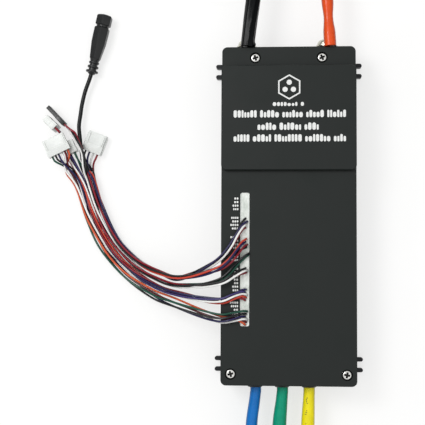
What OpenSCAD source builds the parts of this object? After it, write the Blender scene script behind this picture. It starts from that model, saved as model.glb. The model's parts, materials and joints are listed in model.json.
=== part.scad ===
// Electronic speed controller for a brushless motor, with its battery, phase and signal leads.
// The origin is the centre of the case's flat underside. +Z is up, +Y points to the battery end,
// and the signal slot is on the -X side.

/* [Case] */
// Width of the case across X
case_w = 76; // [76:1:84]
// Length of the case along Y
case_l = 192; // [192:1:200]
// Height of the cover over the control board
main_h = 25; // [25:0.5:28]
// Height of the raised block over the capacitors
block_h = 28; // [28:0.5:31]
// Height of the low strip at the battery end
strip_h = 22; // [22:0.5:24]
// Radius of the upright corners
corner_r = 3; // [2:0.5:4]
// Thickness of the cover's side walls
wall = 2.2; // [1.8:0.1:2.4]

/* [Leads] */
// Outer diameter of the three motor phase leads
phase_lead_d = 6.4; // [6:0.1:6.6]
// Outer diameter of the positive battery lead
positive_lead_d = 6.8; // [6.4:0.1:7.2]
// Outer diameter of the negative battery lead in its ribbed sleeve
negative_lead_d = 8.2; // [7.8:0.1:8.4]
// Diameter of every power lead's bare, tinned core end
core_d = 4.2; // [3.8:0.1:4.4]
// Length of bare tinned core at each free end
stripped_l = 8; // [6:1:12]
// Diameter of one signal wire
wire_d = 1.2; // [1:0.1:1.3]

/* [Screws] */
// Diameter of the cover screws' thread
screw_d = 2.9; // [2.8:0.05:2.95]
// Diameter of the cover screws' heads
screw_head_d = 5.5; // [5:0.1:5.8]
// Diameter of the battery terminal bolts
bolt_d = 6; // [5:0.5:6]
// Width of each open mounting slot
mount_slot_w = 3.7; // [3.4:0.1:3.9]

/* [Hidden] */
$fn = 48;

// Clearance between pieces that touch on the real object
gap = 0.05;
// How far a cutting shape runs past the face it cuts
past = 1;

// The stack, from the underside up
base_t = 5;
pedestal_top = 6.5;
pad_t = 0.5;
power_board_t = 1.6;
power_board_z = pedestal_top + pad_t;
power_top = power_board_z + power_board_t;
standoff_h = 6.4;
control_board_z = power_top + standoff_h;
control_board_t = 1.6;
control_top = control_board_z + control_board_t;
ceiling_t = 1.8;
edge_chamfer = 0.5;
base_inset = 0.2;

// Plan of the cover: the raised block and the low strip start at these Y values
block_y = [24.5, case_l / 2 - 11.7];

// Cover screws: the pair on the strip and the pair at the phase end, and the holes they pass
strip_screws = [[-19, 89.6], [19, 89.6]];
phase_screws = [[-32.4, -89.6], [32.4, -89.6]];
screw_l = 16;
head_h = 1.7;
counterbore_r = 3.15;
counterbore_depth = 1.9;
post_top = 11;
post_r = 2.6;
threaded_hole_r = screw_d / 2 + gap;
screw_clearance = 0.15;
hole_floor = 2.8;
boss_r = 3.9;
boss_floor_t = 2.6;
post_gap = 0.1;
board_screw_r = 1.25;
board_screw_l = 5;

// Open mounting slots at the four corners of the base
lug_reach = 4.6;
lug_prong_w = 2.4;
lug_t = 4;
lug_y = 85.25;
lug_slot_x = case_w / 2 + 2.05;
groove_pitch = 5.6;
// The base's raised middle stands inside the cover's walls
pedestal_inset = wall + 0.3;

// Signal slot in the cover and the row of six board connectors below it
slot_x = -24.6;
slot_w = 5.2;
slot_y = [-63.1, 12];
slot_corner_r = 1;
slot_skirt_t = 1;
pin_pitch = 2;
header_w = 4.5;
header_h = 6;
header_end = 1.95;
header_gap = 1;
header_wall = 0.5;
header_floor_t = 1;
header_pin_r = 0.3;
link_pin_r = 0.35;
pin_counts = [4, 4, 4, 2, 8, 6];
header_row_top = 10.6;
plug_top = control_top + 7.7;
sealant_top = main_h - 0.25;
wire_end_z = main_h + 0.8;

// Boards, parts under the raised block, and the pins that join the two boards
power_board_y = [-88, 91.5];
fet_columns = [-26.5, -11.3, 3.9, 19.1];
standoff_places = [[-29.5, 17.5], [29.5, 17.5], [-29.5, -76], [29.5, -76]];
busbar_t = 1.6;
can_d = 15.6;
can_l = 33;
can_sleeve_t = 0.2;
can_rows = [35.6, 52.4, 69.2];
can_inner_x = 1.8;
can_z = power_top + 0.3 + can_d / 2 + can_sleeve_t;
link_x = 25.5;
link_y = -20;
link_pins = 10;
link_pitch = 2.54;
plug_w = header_w - 2 * header_wall - 2 * gap;
plug_low = control_top + 1.2;
crimp_z = control_top + 4.6;

// Battery terminals
terminal_x = 23.6;
bolt_z = 11.6;
terminal_w = 12;
terminal_plate_t = 3.3;
terminal_face_y = case_l / 2;
lug_t_eye = 1.6;
washer_r = 5.75;
washer_t = 1;
eye_r = bolt_d / 2 + 0.2;
battery_lead_z = 21.6;
// Solder makes a tinned core end thicker than the core inside its jacket
jacketed_core_d = core_d - 0.6;
// Bare core between the jacket's end and the tinned length
tinned_gap = 0.7;
barrel_r = 3;
lug_strap_w = 5;
barrel_l = 8.6;
sleeve_start = 1.3;
sleeve_l = 9.8;
battery_lean = [6.5, -3.8];

// Motor phase leads
phase_x = [-18.9, -3.7, 11.5];
phase_lean = [6, 4.5, 2];
phase_z = 14;
grommet_proud = 3.1;
grommet_neck_r = phase_lead_d / 2 + 0.85;
hinge_gap = 0.3;
phase_flex_y = -case_l / 2 - grommet_proud - 2 * hinge_gap - phase_lead_d / 2;

// Length of each free lead's insulation, beyond its flexing point
lead_run = 38;

// The signal harness leaves the slot, crosses the cover's left edge and comes down to the bench
bench_z = 0.2;
drape_x = [-95, -39];
loom_start_x = slot_x - 2;
trunk = [[-62, -41.5], [-76, -37.5], [-90, -29.5], [-102.5, -16.5], [-112, 1], [-118.5, 20]];
trunk_spread = [1.6, 1.35, 1.1, 1, 1, 1];
loom_steps = 4;

// Each small plug: rear point, heading, [width, length, thickness], wires, 1 when it stands on its edge
comm_housing = [[-116.35, 37.8, 0.3], 69, [11.4, 12, 5.3], 4, 0];
sensor_housing = [[-126.4, 37.9, 0.3], 115, [5.9, 7.7, 4.5], 2, 1];
throttle_housing = [[-132.5, 54.5, 0.3], 133.5, [7.6, 14, 2.54], 3, 1];
switch_housing = [[-136.9, 51.7, 0.3], 134, [11.9, 8.4, 4.5], 5, 1];
hall_housing = [[-134, 36.7, 6.3], 116, [13.9, 10.5, 4.5], 6, 0];
plug_edges = 3.9;
crimp_window = [1.2, 2.4, 0.6];
pin_socket = 1;
pin_socket_depth = 2.6;

// Display cable, and the tip and heading of its round plug
cable_r = 1.2;
display_tip = [-108.5, 119.4, 5.1];
display_heading = 76.6;
socket_r = 2.9;
socket_depth = 6;
cord_bore_r = cable_r + 0.15;

// ---------------------------------------------------------------- functions

function unit(v) = v / norm(v);
function header_len(pins) = (pins - 1) * pin_pitch + 2 * header_end;
// Y of the upper end of header i, counted from the battery end
function header_y(i) = i == 0 ? header_row_top : header_y(i - 1) - header_len(pin_counts[i - 1]) - header_gap;
function pin_y(i, k) = header_y(i) - header_end - k * pin_pitch;

function smooth(t) = t * t * (3 - 2 * t);
// Height of the surface that the harness lies on, from the cover down to the bench
function drape(x) =
    bench_z + (main_h + 0.1) * smooth(min(max((x - drape_x[0]) / (drape_x[1] - drape_x[0]), 0), 1));

function catmull(a, b, c, d, t) =
    0.5 * (2 * b + (c - a) * t + (2 * a - 5 * b + 4 * c - d) * t * t + (3 * b - a - 3 * c + d) * t * t * t);
function spline(p, steps) = [
    for (i = [0:len(p) - 2], s = [0:steps - 1])
        catmull(p[max(i - 1, 0)], p[i], p[i + 1], p[min(i + 2, len(p) - 1)], s / steps),
    p[len(p) - 1]
];

function trunk_tangent(i) = unit(trunk[min(i + 1, len(trunk) - 1)] - trunk[max(i - 1, 0)]);
// A point of the trunk, moved sideways into a loom's lane and up by its height over the surface
function lane_point(i, lane, up) =
    let (t = trunk_tangent(i), q = trunk[i] + lane * trunk_spread[i] * [t[1], -t[0]])
    [q[0], q[1], drape(q[0]) + up];
function loom_path(start_y, edge_y, lane, up, ends) = concat(
    [[loom_start_x, start_y, drape(loom_start_x) + up]],
    [[-case_w / 2, edge_y, drape(-case_w / 2) + up]],
    [for (i = [0:len(trunk) - 1]) lane_point(i, lane, up)],
    ends
);

// ---------------------------------------------------------------- helpers

module rounded_plate(w, l, r, h) {
    linear_extrude(h) union() {
        square([w - 2 * r, l], center = true);
        square([w, l - 2 * r], center = true);
        for (x = [-1, 1], y = [-1, 1])
            translate([x * (w / 2 - r), y * (l / 2 - r)]) circle(r);
    }
}

// A plate with upright rounded corners and a chamfer around its top edge
module chamfered_plate(w, l, r, h, c) {
    rounded_plate(w, l, r, h - c);
    translate([0, 0, h - c]) {
        rotate([90, 0, 0]) linear_extrude(l - 2 * r, center = true)
            polygon([[-w / 2, 0], [w / 2, 0], [w / 2 - c, c], [-w / 2 + c, c]]);
        rotate([90, 0, 90]) linear_extrude(w - 2 * r, center = true)
            polygon([[-l / 2, 0], [l / 2, 0], [l / 2 - c, c], [-l / 2 + c, c]]);
        for (x = [-1, 1], y = [-1, 1])
            translate([x * (w / 2 - r), y * (l / 2 - r), 0]) cylinder(r1 = r, r2 = r - c, h = c);
    }
}

// A chamfered plate given by the Y values of its ends
module y_plate(w, y0, y1, r, h, c) {
    translate([0, (y0 + y1) / 2, 0]) chamfered_plate(w, y1 - y0, r, h, c);
}

module box_at(x, y, z) {
    translate([x[0], y[0], z[0]]) cube([x[1] - x[0], y[1] - y[0], z[1] - z[0]]);
}

module y_cylinder(r, y0, y1) {
    translate([0, y0, 0]) rotate([-90, 0, 0]) cylinder(r = r, h = y1 - y0);
}

// A hexagonal bar along Y with a ridge on top, tapering from r0 to r1
module y_hexagon(r0, r1, y0, y1) {
    translate([0, y0, 0]) rotate([-90, 0, 0]) rotate([0, 0, 30]) cylinder(r1 = r0, r2 = r1, h = y1 - y0, $fn = 6);
}

// The free part of a lead's insulation, along +Y, with a domed end at its flexing point
module lead_jacket(d) {
    difference() {
        union() {
            sphere(d / 2 - 0.1);
            y_cylinder(d / 2, 0, lead_run);
        }
        y_cylinder(jacketed_core_d / 2 + gap, 0.5, lead_run + past);
    }
}

// A copper core, thicker where it is tinned, beyond the jacket's end
module lead_core() {
    tinned_y = lead_run + tinned_gap;
    y_cylinder(jacketed_core_d / 2, 0.6, tinned_y);
    y_cylinder(core_d / 2, tinned_y, tinned_y + stripped_l);
}

// Where each battery lead's lug barrel starts, leaning with its lead
module at_battery_lead(side) {
    lean = battery_lean[side < 0 ? 0 : 1];
    translate([side * terminal_x, case_l / 2 + 0.9, battery_lead_z]) rotate([0, 0, -lean]) children();
}

function battery_lead_d(side) = side < 0 ? negative_lead_d : positive_lead_d;
function battery_flex_y(side) = sleeve_l + hinge_gap + battery_lead_d(side) / 2;

module at_battery_flex(side) {
    at_battery_lead(side) translate([0, battery_flex_y(side), 0]) children();
}

// The flexing point of a phase lead, just outside its grommet, with the lead's +Y pointing out
module at_phase_flex(i) {
    translate([phase_x[i], phase_flex_y, phase_z]) rotate([0, 0, 180 - phase_lean[i]]) children();
}

// A round cord along a path whose direction is never upright
module cord(path, r, sides = 10) {
    n = len(path);
    tangent = [for (i = [0:n - 1]) unit(path[min(i + 1, n - 1)] - path[max(i - 1, 0)])];
    across = [for (t = tangent) unit(cross(t, [0, 0, 1]))];
    points = [
        for (i = [0:n - 1], k = [0:sides - 1])
            path[i] + r * cos(k * 360 / sides) * across[i]
                + r * sin(k * 360 / sides) * cross(across[i], tangent[i])
    ];
    skin = [
        for (i = [0:n - 2], k = [0:sides - 1])
            let (m = (k + 1) % sides)
            [i * sides + k, i * sides + m, (i + 1) * sides + m, (i + 1) * sides + k]
    ];
    first_cap = [for (k = [sides - 1:-1:0]) k];
    last_cap = [for (k = [0:sides - 1]) (n - 1) * sides + k];
    polyhedron(points, concat(skin, [first_cap], [last_cap]));
}

module each_screw() {
    for (p = strip_screws) translate([p[0], p[1], strip_h]) children();
    for (p = phase_screws) translate([p[0], p[1], main_h]) children();
}

module each_standoff() {
    for (p = standoff_places) translate([p[0], p[1], 0]) children();
}

module each_wired_pin(first = 1) {
    for (i = [first:len(pin_counts) - 1], k = [0:pin_counts[i] - 1])
        translate([slot_x, pin_y(i, k), 0]) children();
}

// ---------------------------------------------------------------- case

module mounting_lug() {
    difference() {
        union() {
            box_at([case_w / 2 - 1, case_w / 2 + lug_reach - lug_prong_w / 2],
                   [-mount_slot_w / 2 - lug_prong_w, mount_slot_w / 2 + lug_prong_w], [0, lug_t]);
            for (s = [-1, 1])
                translate([case_w / 2 + lug_reach - lug_prong_w / 2, s * (mount_slot_w + lug_prong_w) / 2, 0])
                    cylinder(d = lug_prong_w, h = lug_t);
        }
        translate([lug_slot_x, 0, -past]) cylinder(d = mount_slot_w, h = lug_t + 2 * past);
        box_at([lug_slot_x, lug_slot_x + lug_reach], [-mount_slot_w / 2, mount_slot_w / 2], [-past, lug_t + past]);
    }
}

module cooling_groove(x) {
    groove_w = 2.6;
    groove_depth = 1.8;
    groove_l = case_l - 24;
    translate([x, 0, -past]) rounded_plate(groove_w, groove_l, groove_w / 2 - gap, groove_depth + past);
}

module heatsink_base() {
    color("dimgray") difference() {
        union() {
            rounded_plate(case_w - 2 * base_inset, case_l - 2 * base_inset, corner_r - base_inset, base_t);
            rounded_plate(case_w - 2 * pedestal_inset, case_l - 2 * pedestal_inset, corner_r, pedestal_top);
            for (p = concat(strip_screws, phase_screws))
                translate([p[0], p[1], 0]) cylinder(r = post_r, h = post_top);
            for (x = [0, 1], y = [-lug_y, lug_y]) mirror([x, 0, 0]) translate([0, y, 0]) mounting_lug();
        }
        for (k = [1:5], s = [-1, 1]) cooling_groove(s * (3 + k * groove_pitch));
        for (p = concat(strip_screws, phase_screws))
            translate([p[0], p[1], hole_floor]) cylinder(r = threaded_hole_r, h = post_top);
        each_standoff() translate([0, 0, hole_floor]) cylinder(r = threaded_hole_r, h = post_top);
    }
}

module signal_slot(grow, z0, z1) {
    l = slot_y[1] - slot_y[0];
    translate([slot_x, (slot_y[0] + slot_y[1]) / 2, z0])
        rounded_plate(slot_w + 2 * grow, l + 2 * grow, slot_corner_r + max(grow, -0.5), z1 - z0);
}

module cover_cavity() {
    inner_w = case_w - 2 * wall;
    inner_r = corner_r - 1;
    end = case_l / 2 - wall;
    main_end = block_y[1] - wall;
    translate([0, 0, -past]) rounded_plate(inner_w, case_l - 2 * wall, inner_r, strip_h - ceiling_t + past);
    translate([0, (main_end - end) / 2, 0])
        rounded_plate(inner_w, end + main_end, inner_r, main_h - ceiling_t);
    translate([0, (block_y[0] + wall + main_end) / 2, 0])
        rounded_plate(inner_w, main_end - block_y[0] - wall, inner_r, block_h - ceiling_t);
}

module cover_boss() {
    translate([0, 0, -counterbore_depth - boss_floor_t])
        cylinder(r = boss_r, h = counterbore_depth + boss_floor_t - edge_chamfer);
}

module top_cover() {
    color("#363938") difference() {
        union() {
            difference() {
                union() {
                    y_plate(case_w, -case_l / 2, case_l / 2, corner_r, strip_h, edge_chamfer);
                    y_plate(case_w, -case_l / 2, block_y[1], corner_r, main_h, edge_chamfer);
                    y_plate(case_w, block_y[0], block_y[1], corner_r, block_h, edge_chamfer);
                }
                cover_cavity();
            }
            each_screw() cover_boss();
            for (p = strip_screws)
                translate([p[0], p[1], post_top + post_gap])
                    cylinder(r = post_r, h = strip_h - ceiling_t - post_top);
            for (p = phase_screws)
                translate([p[0], p[1], post_top + post_gap])
                    cylinder(r = post_r, h = main_h - ceiling_t - post_top);
            signal_slot(slot_skirt_t, control_top + 1.6, main_h - edge_chamfer);
        }
        box_at([-case_w, case_w], [-case_l, case_l], [-past, base_t]);
        signal_slot(0, 0, main_h + past);
        each_screw() translate([0, 0, -counterbore_depth]) cylinder(r = counterbore_r, h = 2 * counterbore_depth);
        each_screw() translate([0, 0, -case_l / 8]) cylinder(r = screw_d / 2 + screw_clearance, h = case_l / 8);
        for (s = [-1, 1])
            translate([s * terminal_x, 0, bolt_z]) box_at(
                [-terminal_w / 2 - 0.25, terminal_w / 2 + 0.25], [case_l / 2 - 2 * wall, case_l / 2 + past],
                [-terminal_w / 2 + 0.1, terminal_w / 2 + 0.25]);
        for (x = phase_x)
            translate([x, 0, phase_z]) y_cylinder(grommet_neck_r + gap, -case_l / 2 - past, -case_l / 2 + 2 * wall);
    }
}

module cover_screws() {
    cross = [3.4, 0.9, 2];
    cross_turn = 20;
    rim_h = head_h - 0.6;
    dome_d = screw_head_d - 1.4;
    color("gainsboro") each_screw() translate([0, 0, -counterbore_depth]) difference() {
        union() {
            translate([0, 0, -screw_l]) cylinder(d = screw_d, h = screw_l + rim_h / 2);
            cylinder(d = screw_head_d, h = rim_h);
            translate([0, 0, rim_h]) cylinder(d1 = screw_head_d, d2 = dome_d, h = head_h - rim_h);
        }
        for (a = [0, 90])
            rotate([0, 0, a + cross_turn]) translate([0, 0, head_h]) cube(cross, center = true);
    }
}

module slot_sealant() {
    low = control_top + header_h + 0.1;
    color("whitesmoke") difference() {
        signal_slot(-gap, low, sealant_top);
        for (i = [1:len(pin_counts) - 1])
            box_at([slot_x - plug_w / 2 - gap, slot_x + plug_w / 2 + gap],
                   [header_y(i) - header_len(pin_counts[i]) + header_wall, header_y(i) - header_wall],
                   [low - past, plug_top + gap]);
        each_wired_pin() cylinder(d = wire_d + 2 * gap, h = main_h + past);
    }
}

// ---------------------------------------------------------------- power stage

module thermal_pad() {
    pad = [66, 172];
    pad_r = 2;
    pad_hole_r = 2;
    color("lightsteelblue") difference() {
        translate([0, 0, pedestal_top]) rounded_plate(pad[0], pad[1], pad_r, pad_t);
        each_standoff() translate([0, 0, pedestal_top - past]) cylinder(r = pad_hole_r, h = pad_t + 2 * past);
    }
}

module power_board() {
    half_w = 34.5;
    post_clearance = 0.4;
    color("silver") difference() {
        box_at([-half_w, half_w], power_board_y, [power_board_z, power_top]);
        for (p = concat(strip_screws, phase_screws))
            translate([p[0], p[1], 0]) cylinder(r = post_r + post_clearance, h = main_h);
        each_standoff() cylinder(r = screw_d / 2 + screw_clearance, h = main_h);
    }
}

module mosfets() {
    fet = [8, 9.9, 2.3];
    first_y = -68;
    row_pitch = 13.2;
    color("#222428") for (x = fet_columns, k = [0:5])
        translate([x - fet[0] / 2, first_y + k * row_pitch - fet[1] / 2, power_top]) cube(fet);
}

module phase_busbars() {
    bar_w = 5;
    bar_end_y = 2;
    tab_w = 9;
    tab_y = [-86.4, -84.6];
    tab_top = phase_z + 3.8;
    color("#b87333") for (x = phase_x) translate([x, 0, 0]) difference() {
        union() {
            box_at([-bar_w / 2, bar_w / 2], [tab_y[0], bar_end_y], [power_top, power_top + busbar_t]);
            box_at([-tab_w / 2, tab_w / 2], tab_y, [power_top, tab_top]);
        }
        translate([0, 0, phase_z]) y_cylinder(jacketed_core_d / 2 + gap, tab_y[0] - past, tab_y[1] + past);
    }
}

// Each sensor straddles a busbar
module current_sensors() {
    sensor = [7, 5, 1.6];
    sensor_y = -78;
    color("#1d1f22") for (x = phase_x)
        translate([x - sensor[0] / 2, sensor_y - sensor[1] / 2, power_top + busbar_t]) cube(sensor);
}

// A copper bracket soldered to the board, with a threaded plate in the end wall's window
module battery_terminal(side) {
    foot_t = 1.6;
    foot_y = 83.6;
    foot_inner_x = terminal_x - 1.2;
    plate_y = [terminal_face_y - terminal_plate_t, terminal_face_y];
    mirror([side < 0 ? 1 : 0, 0, 0]) difference() {
        union() {
            box_at([foot_inner_x, terminal_x + terminal_w / 2], [foot_y, plate_y[1]], [power_top, power_top + foot_t]);
            box_at([terminal_x - terminal_w / 2, terminal_x + terminal_w / 2], plate_y,
                   [power_top, bolt_z + terminal_w / 2]);
        }
        translate([terminal_x, 0, bolt_z]) y_cylinder(bolt_d / 2 + gap, plate_y[0] - past, plate_y[1] + past);
    }
}

module positive_terminal() { color("#b87333") battery_terminal(1); }
module negative_terminal() { color("#b87333") battery_terminal(-1); }

module each_capacitor() {
    for (s = [0, 1], y = can_rows)
        mirror([s, 0, 0]) translate([can_inner_x, y, can_z]) rotate([0, 90, 0]) children();
}

module capacitor_cans() {
    score = [can_d * 0.7, 0.5, 0.8];
    color("silver") each_capacitor() difference() {
        cylinder(d = can_d, h = can_l);
        for (a = [0, 90])
            rotate([0, 0, a]) translate([0, 0, can_l]) cube(score, center = true);
    }
}

module capacitor_sleeves() {
    lip = 0.15;
    color("#20242c") each_capacitor() difference() {
        translate([0, 0, lip]) cylinder(d = can_d + 2 * can_sleeve_t, h = can_l - 2 * lip);
        cylinder(d = can_d + 2 * gap, h = can_l);
    }
}

module capacitor_leads() {
    lead_r = 0.4;
    lead_pitch = 7.5;
    reach = 1;
    color("silver") for (s = [0, 1], y = can_rows, k = [-1, 1])
        mirror([s, 0, 0]) translate([can_inner_x - reach, y + k * lead_pitch / 2, 0]) {
            translate([0, 0, power_top]) cylinder(r = lead_r, h = can_z - power_top + lead_r);
            translate([0, 0, can_z]) rotate([0, 90, 0]) cylinder(r = lead_r, h = reach - gap);
        }
}

module phase_grommets() {
    flange_t = 1.1;
    flange_r = grommet_neck_r + 0.9;
    wide_r = 5.5;
    narrow_r = 4.1;
    color("#111111") for (x = phase_x) translate([x, -case_l / 2, phase_z]) difference() {
        union() {
            rotate([90, 0, 0]) translate([0, 0, gap])
                cylinder(r1 = wide_r, r2 = narrow_r, h = grommet_proud - gap);
            y_cylinder(grommet_neck_r, -gap, wall + gap);
            y_cylinder(flange_r, wall + gap, wall + gap + flange_t);
        }
        y_cylinder(phase_lead_d / 2 + gap, -grommet_proud - past, 2 * wall + flange_t);
    }
}

// ---------------------------------------------------------------- control board

module standoffs() {
    stud_low = 3;
    hex_r = 2.9;
    thread_floor = 1.4;
    color("goldenrod") each_standoff() difference() {
        union() {
            translate([0, 0, stud_low]) cylinder(d = screw_d, h = power_top - stud_low + 0.1);
            translate([0, 0, power_top]) cylinder(r = hex_r, h = standoff_h, $fn = 6);
        }
        translate([0, 0, power_top + thread_floor]) cylinder(r = board_screw_r + gap, h = standoff_h);
    }
}

module board_screws() {
    head_r = 2.3;
    head_t = 1.4;
    cross = [2.6, 0.7, head_t];
    color("gainsboro") each_standoff() translate([0, 0, control_top]) difference() {
        union() {
            translate([0, 0, -board_screw_l]) cylinder(r = board_screw_r, h = board_screw_l + 0.1);
            cylinder(r = head_r, h = head_t);
        }
        for (a = [0, 90]) rotate([0, 0, a]) translate([0, 0, head_t]) cube(cross, center = true);
    }
}

module each_link_pin() {
    for (k = [0:link_pins - 1]) translate([link_x, link_y - k * link_pitch, 0]) children();
}

module control_board() {
    half_w = 33;
    board_y = [-81.5, 22];
    color("#14532d") difference() {
        box_at([-half_w, half_w], board_y, [control_board_z, control_top]);
        each_standoff() cylinder(r = board_screw_r + screw_clearance, h = main_h);
        each_wired_pin(0) cylinder(r = header_pin_r + 2 * gap, h = main_h);
        each_link_pin() cylinder(r = link_pin_r + screw_clearance, h = main_h);
    }
}

module processor_chip() {
    chip = [10, 10, 1.4];
    color("#191b1f") translate([-6, -34, control_top]) cube(chip);
}

module gate_drivers() {
    driver = [7, 7, 0.9];
    driver_x = 8;
    color("#191b1f") for (y = [-62, -12, 6])
        translate([driver_x, y - driver[1] / 2, control_top]) cube(driver);
}

module board_link_header() {
    half_w = 1.25;
    color("#151515") difference() {
        box_at([link_x - half_w, link_x + half_w],
               [link_y - (link_pins - 0.5) * link_pitch, link_y + link_pitch / 2],
               [power_top + gap, control_board_z - gap]);
        each_link_pin() cylinder(r = link_pin_r + gap, h = main_h);
    }
}

module board_link_pins() {
    pin_l = standoff_h + 3.2;
    color("gold") each_link_pin() translate([0, 0, power_top + gap]) cylinder(r = link_pin_r, h = pin_l);
}

module signal_headers() {
    color("ivory") for (i = [0:len(pin_counts) - 1]) {
        y = [header_y(i) - header_len(pin_counts[i]), header_y(i)];
        difference() {
            box_at([slot_x - header_w / 2, slot_x + header_w / 2], y, [control_top, control_top + header_h]);
            box_at([slot_x - header_w / 2 + header_wall, slot_x + header_w / 2 - header_wall],
                   [y[0] + header_wall, y[1] - header_wall],
                   [control_top + header_floor_t, control_top + header_h + past]);
            for (k = [0:pin_counts[i] - 1])
                translate([slot_x, pin_y(i, k), 0]) cylinder(r = header_pin_r + gap, h = main_h);
        }
    }
}

module header_pins() {
    pin_l = 6.2;
    tail_l = 0.8;
    color("gold") each_wired_pin(0)
        translate([0, 0, control_board_z - tail_l]) cylinder(r = header_pin_r, h = pin_l);
}

module signal_plugs() {
    color("white") for (i = [1:len(pin_counts) - 1])
        difference() {
            box_at([slot_x - plug_w / 2, slot_x + plug_w / 2],
                   [header_y(i) - header_len(pin_counts[i]) + header_wall + gap, header_y(i) - header_wall - gap],
                   [plug_low, plug_top]);
            for (k = [0:pin_counts[i] - 1]) translate([slot_x, pin_y(i, k), 0]) {
                cylinder(r = header_pin_r + 2 * gap, h = crimp_z);
                translate([0, 0, crimp_z - gap]) cylinder(d = wire_d + 2 * gap, h = main_h);
            }
        }
}

module signal_wire_ends() {
    color("#202020") each_wired_pin() translate([0, 0, crimp_z]) cylinder(d = wire_d, h = wire_end_z - crimp_z);
}

// ---------------------------------------------------------------- battery connections

module terminal_bolts() {
    under_head = terminal_face_y + lug_t_eye + washer_t;
    head_t = 3.3;
    head_r = 5;
    dome_h = 1;
    dome_r = 3.4;
    key_r = 2.3;
    socket_h = 2;
    color("gainsboro") for (s = [-1, 1]) translate([s * terminal_x, 0, bolt_z]) difference() {
        union() {
            y_cylinder(bolt_d / 2, terminal_face_y - terminal_plate_t, under_head + 0.1);
            y_cylinder(head_r, under_head, under_head + head_t - dome_h);
            translate([0, under_head + head_t - dome_h, 0]) rotate([-90, 0, 0])
                cylinder(r1 = head_r, r2 = dome_r, h = dome_h);
        }
        translate([0, under_head + head_t - socket_h, 0]) rotate([-90, 0, 0])
            cylinder(r = key_r, h = socket_h + past, $fn = 6);
    }
}

module terminal_washers() {
    y = terminal_face_y + lug_t_eye + gap;
    color("silver") for (s = [-1, 1]) translate([s * terminal_x, 0, bolt_z]) difference() {
        y_cylinder(washer_r, y, y + washer_t - 2 * gap);
        y_cylinder(eye_r, y - past, y + washer_t + past);
    }
}

module cable_lugs() {
    eye_y = [terminal_face_y + gap, terminal_face_y + lug_t_eye];
    color("silver") for (s = [-1, 1]) {
        difference() {
            union() {
                translate([s * terminal_x, 0, bolt_z]) y_cylinder(washer_r, eye_y[0], eye_y[1]);
                translate([s * terminal_x, 0, 0])
                    box_at([-lug_strap_w / 2, lug_strap_w / 2], eye_y, [bolt_z, battery_lead_z]);
            }
            translate([s * terminal_x, 0, bolt_z]) y_cylinder(eye_r, eye_y[0] - past, eye_y[1] + past);
        }
        at_battery_lead(s) difference() {
            y_cylinder(barrel_r, 0, barrel_l);
            y_cylinder(jacketed_core_d / 2 + gap, 1.4, barrel_l + past);
        }
    }
}

module battery_sleeve(side) {
    at_battery_lead(side) difference() {
        y_cylinder(battery_lead_d(side) / 2, sleeve_start, sleeve_l);
        y_cylinder(barrel_r + gap, 0, sleeve_l + past);
    }
}

module positive_sleeve() { color("#c8401c") battery_sleeve(1); }
module negative_sleeve() { color("#15181a") battery_sleeve(-1); }

// The ends of the copper cores that stay in the lug barrels and in the phase tabs
module conductor_stubs() {
    color("#c98a5a") {
        for (s = [-1, 1]) at_battery_lead(s) y_cylinder(jacketed_core_d / 2, 1.5, sleeve_l);
        for (x = phase_x) translate([x, 0, phase_z])
            y_cylinder(jacketed_core_d / 2, -case_l / 2 - grommet_proud - hinge_gap, -84);
    }
}

module phase_lead_stubs() {
    colors = ["#1f66bb", "#00a078", "#e0d616"];
    for (i = [0:2]) color(colors[i]) translate([phase_x[i], 0, phase_z]) difference() {
        y_cylinder(phase_lead_d / 2, -case_l / 2 - grommet_proud - hinge_gap, -86.6);
        y_cylinder(jacketed_core_d / 2 + gap, -case_l, 0);
    }
}

module positive_lead() { color("#d75023") at_battery_flex(1) lead_jacket(positive_lead_d); }
module positive_core() { color("silver") at_battery_flex(1) lead_core(); }
module negative_lead() { color("#1a1d1f") at_battery_flex(-1) lead_jacket(negative_lead_d); }
module negative_core() { color("silver") at_battery_flex(-1) lead_core(); }
module blue_lead() { color("#1f66bb") at_phase_flex(0) lead_jacket(phase_lead_d); }
module blue_core() { color("silver") at_phase_flex(0) lead_core(); }
module green_lead() { color("#00a078") at_phase_flex(1) lead_jacket(phase_lead_d); }
module green_core() { color("silver") at_phase_flex(1) lead_core(); }
module yellow_lead() { color("#e0d616") at_phase_flex(2) lead_jacket(phase_lead_d); }
module yellow_core() { color("silver") at_phase_flex(2) lead_core(); }

// ---------------------------------------------------------------- signal harness

module loom(r, start_y, edge_y, lane, up, ends) {
    cord(spline(loom_path(start_y, edge_y, lane, up, ends), loom_steps), r);
}

module comm_loom() {
    color("#2a2a6a") loom(1.4, -9, -25, 3.6, 1.5, [[-116, 29, 1.9], [-116.2, 36.6, 2.9]]);
}
module display_loom() {
    color("#c04a20") loom(1.4, -19, -30.5, 3.6, 5.1, [[-118, 27, 5.7], [-120.3, 31.8, 6.4]]);
}
module sensor_loom() {
    color("#104030") loom(1.0, -24, -36.8, 0.6, 1.1, [[-122.3, 29.5, 1.5], [-126, 37.1, 3.2]]);
}
module throttle_loom() {
    color("#b03040") loom(1.2, -31, -39, 0.6, 3.9,
        [[-120.7, 26, 5.8], [-122.8, 31, 8.2], [-125, 39.5, 8.8], [-127.2, 47.5, 7.2], [-131.8, 53.8, 4.4]]);
}
module switch_loom() {
    color("#c05028") loom(1.6, -43, -49, -2.4, 1.7,
        [[-126.5, 30, 1.7], [-131.2, 38, 1.7], [-135, 46.8, 1.7], [-136, 50.4, 2.1]]);
}
module hall_loom() {
    color("#303070") loom(1.8, -55, -58.6, -6, 1.9, [[-129.5, 27, 4.2], [-133.8, 35.2, 8.5]]);
}

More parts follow.
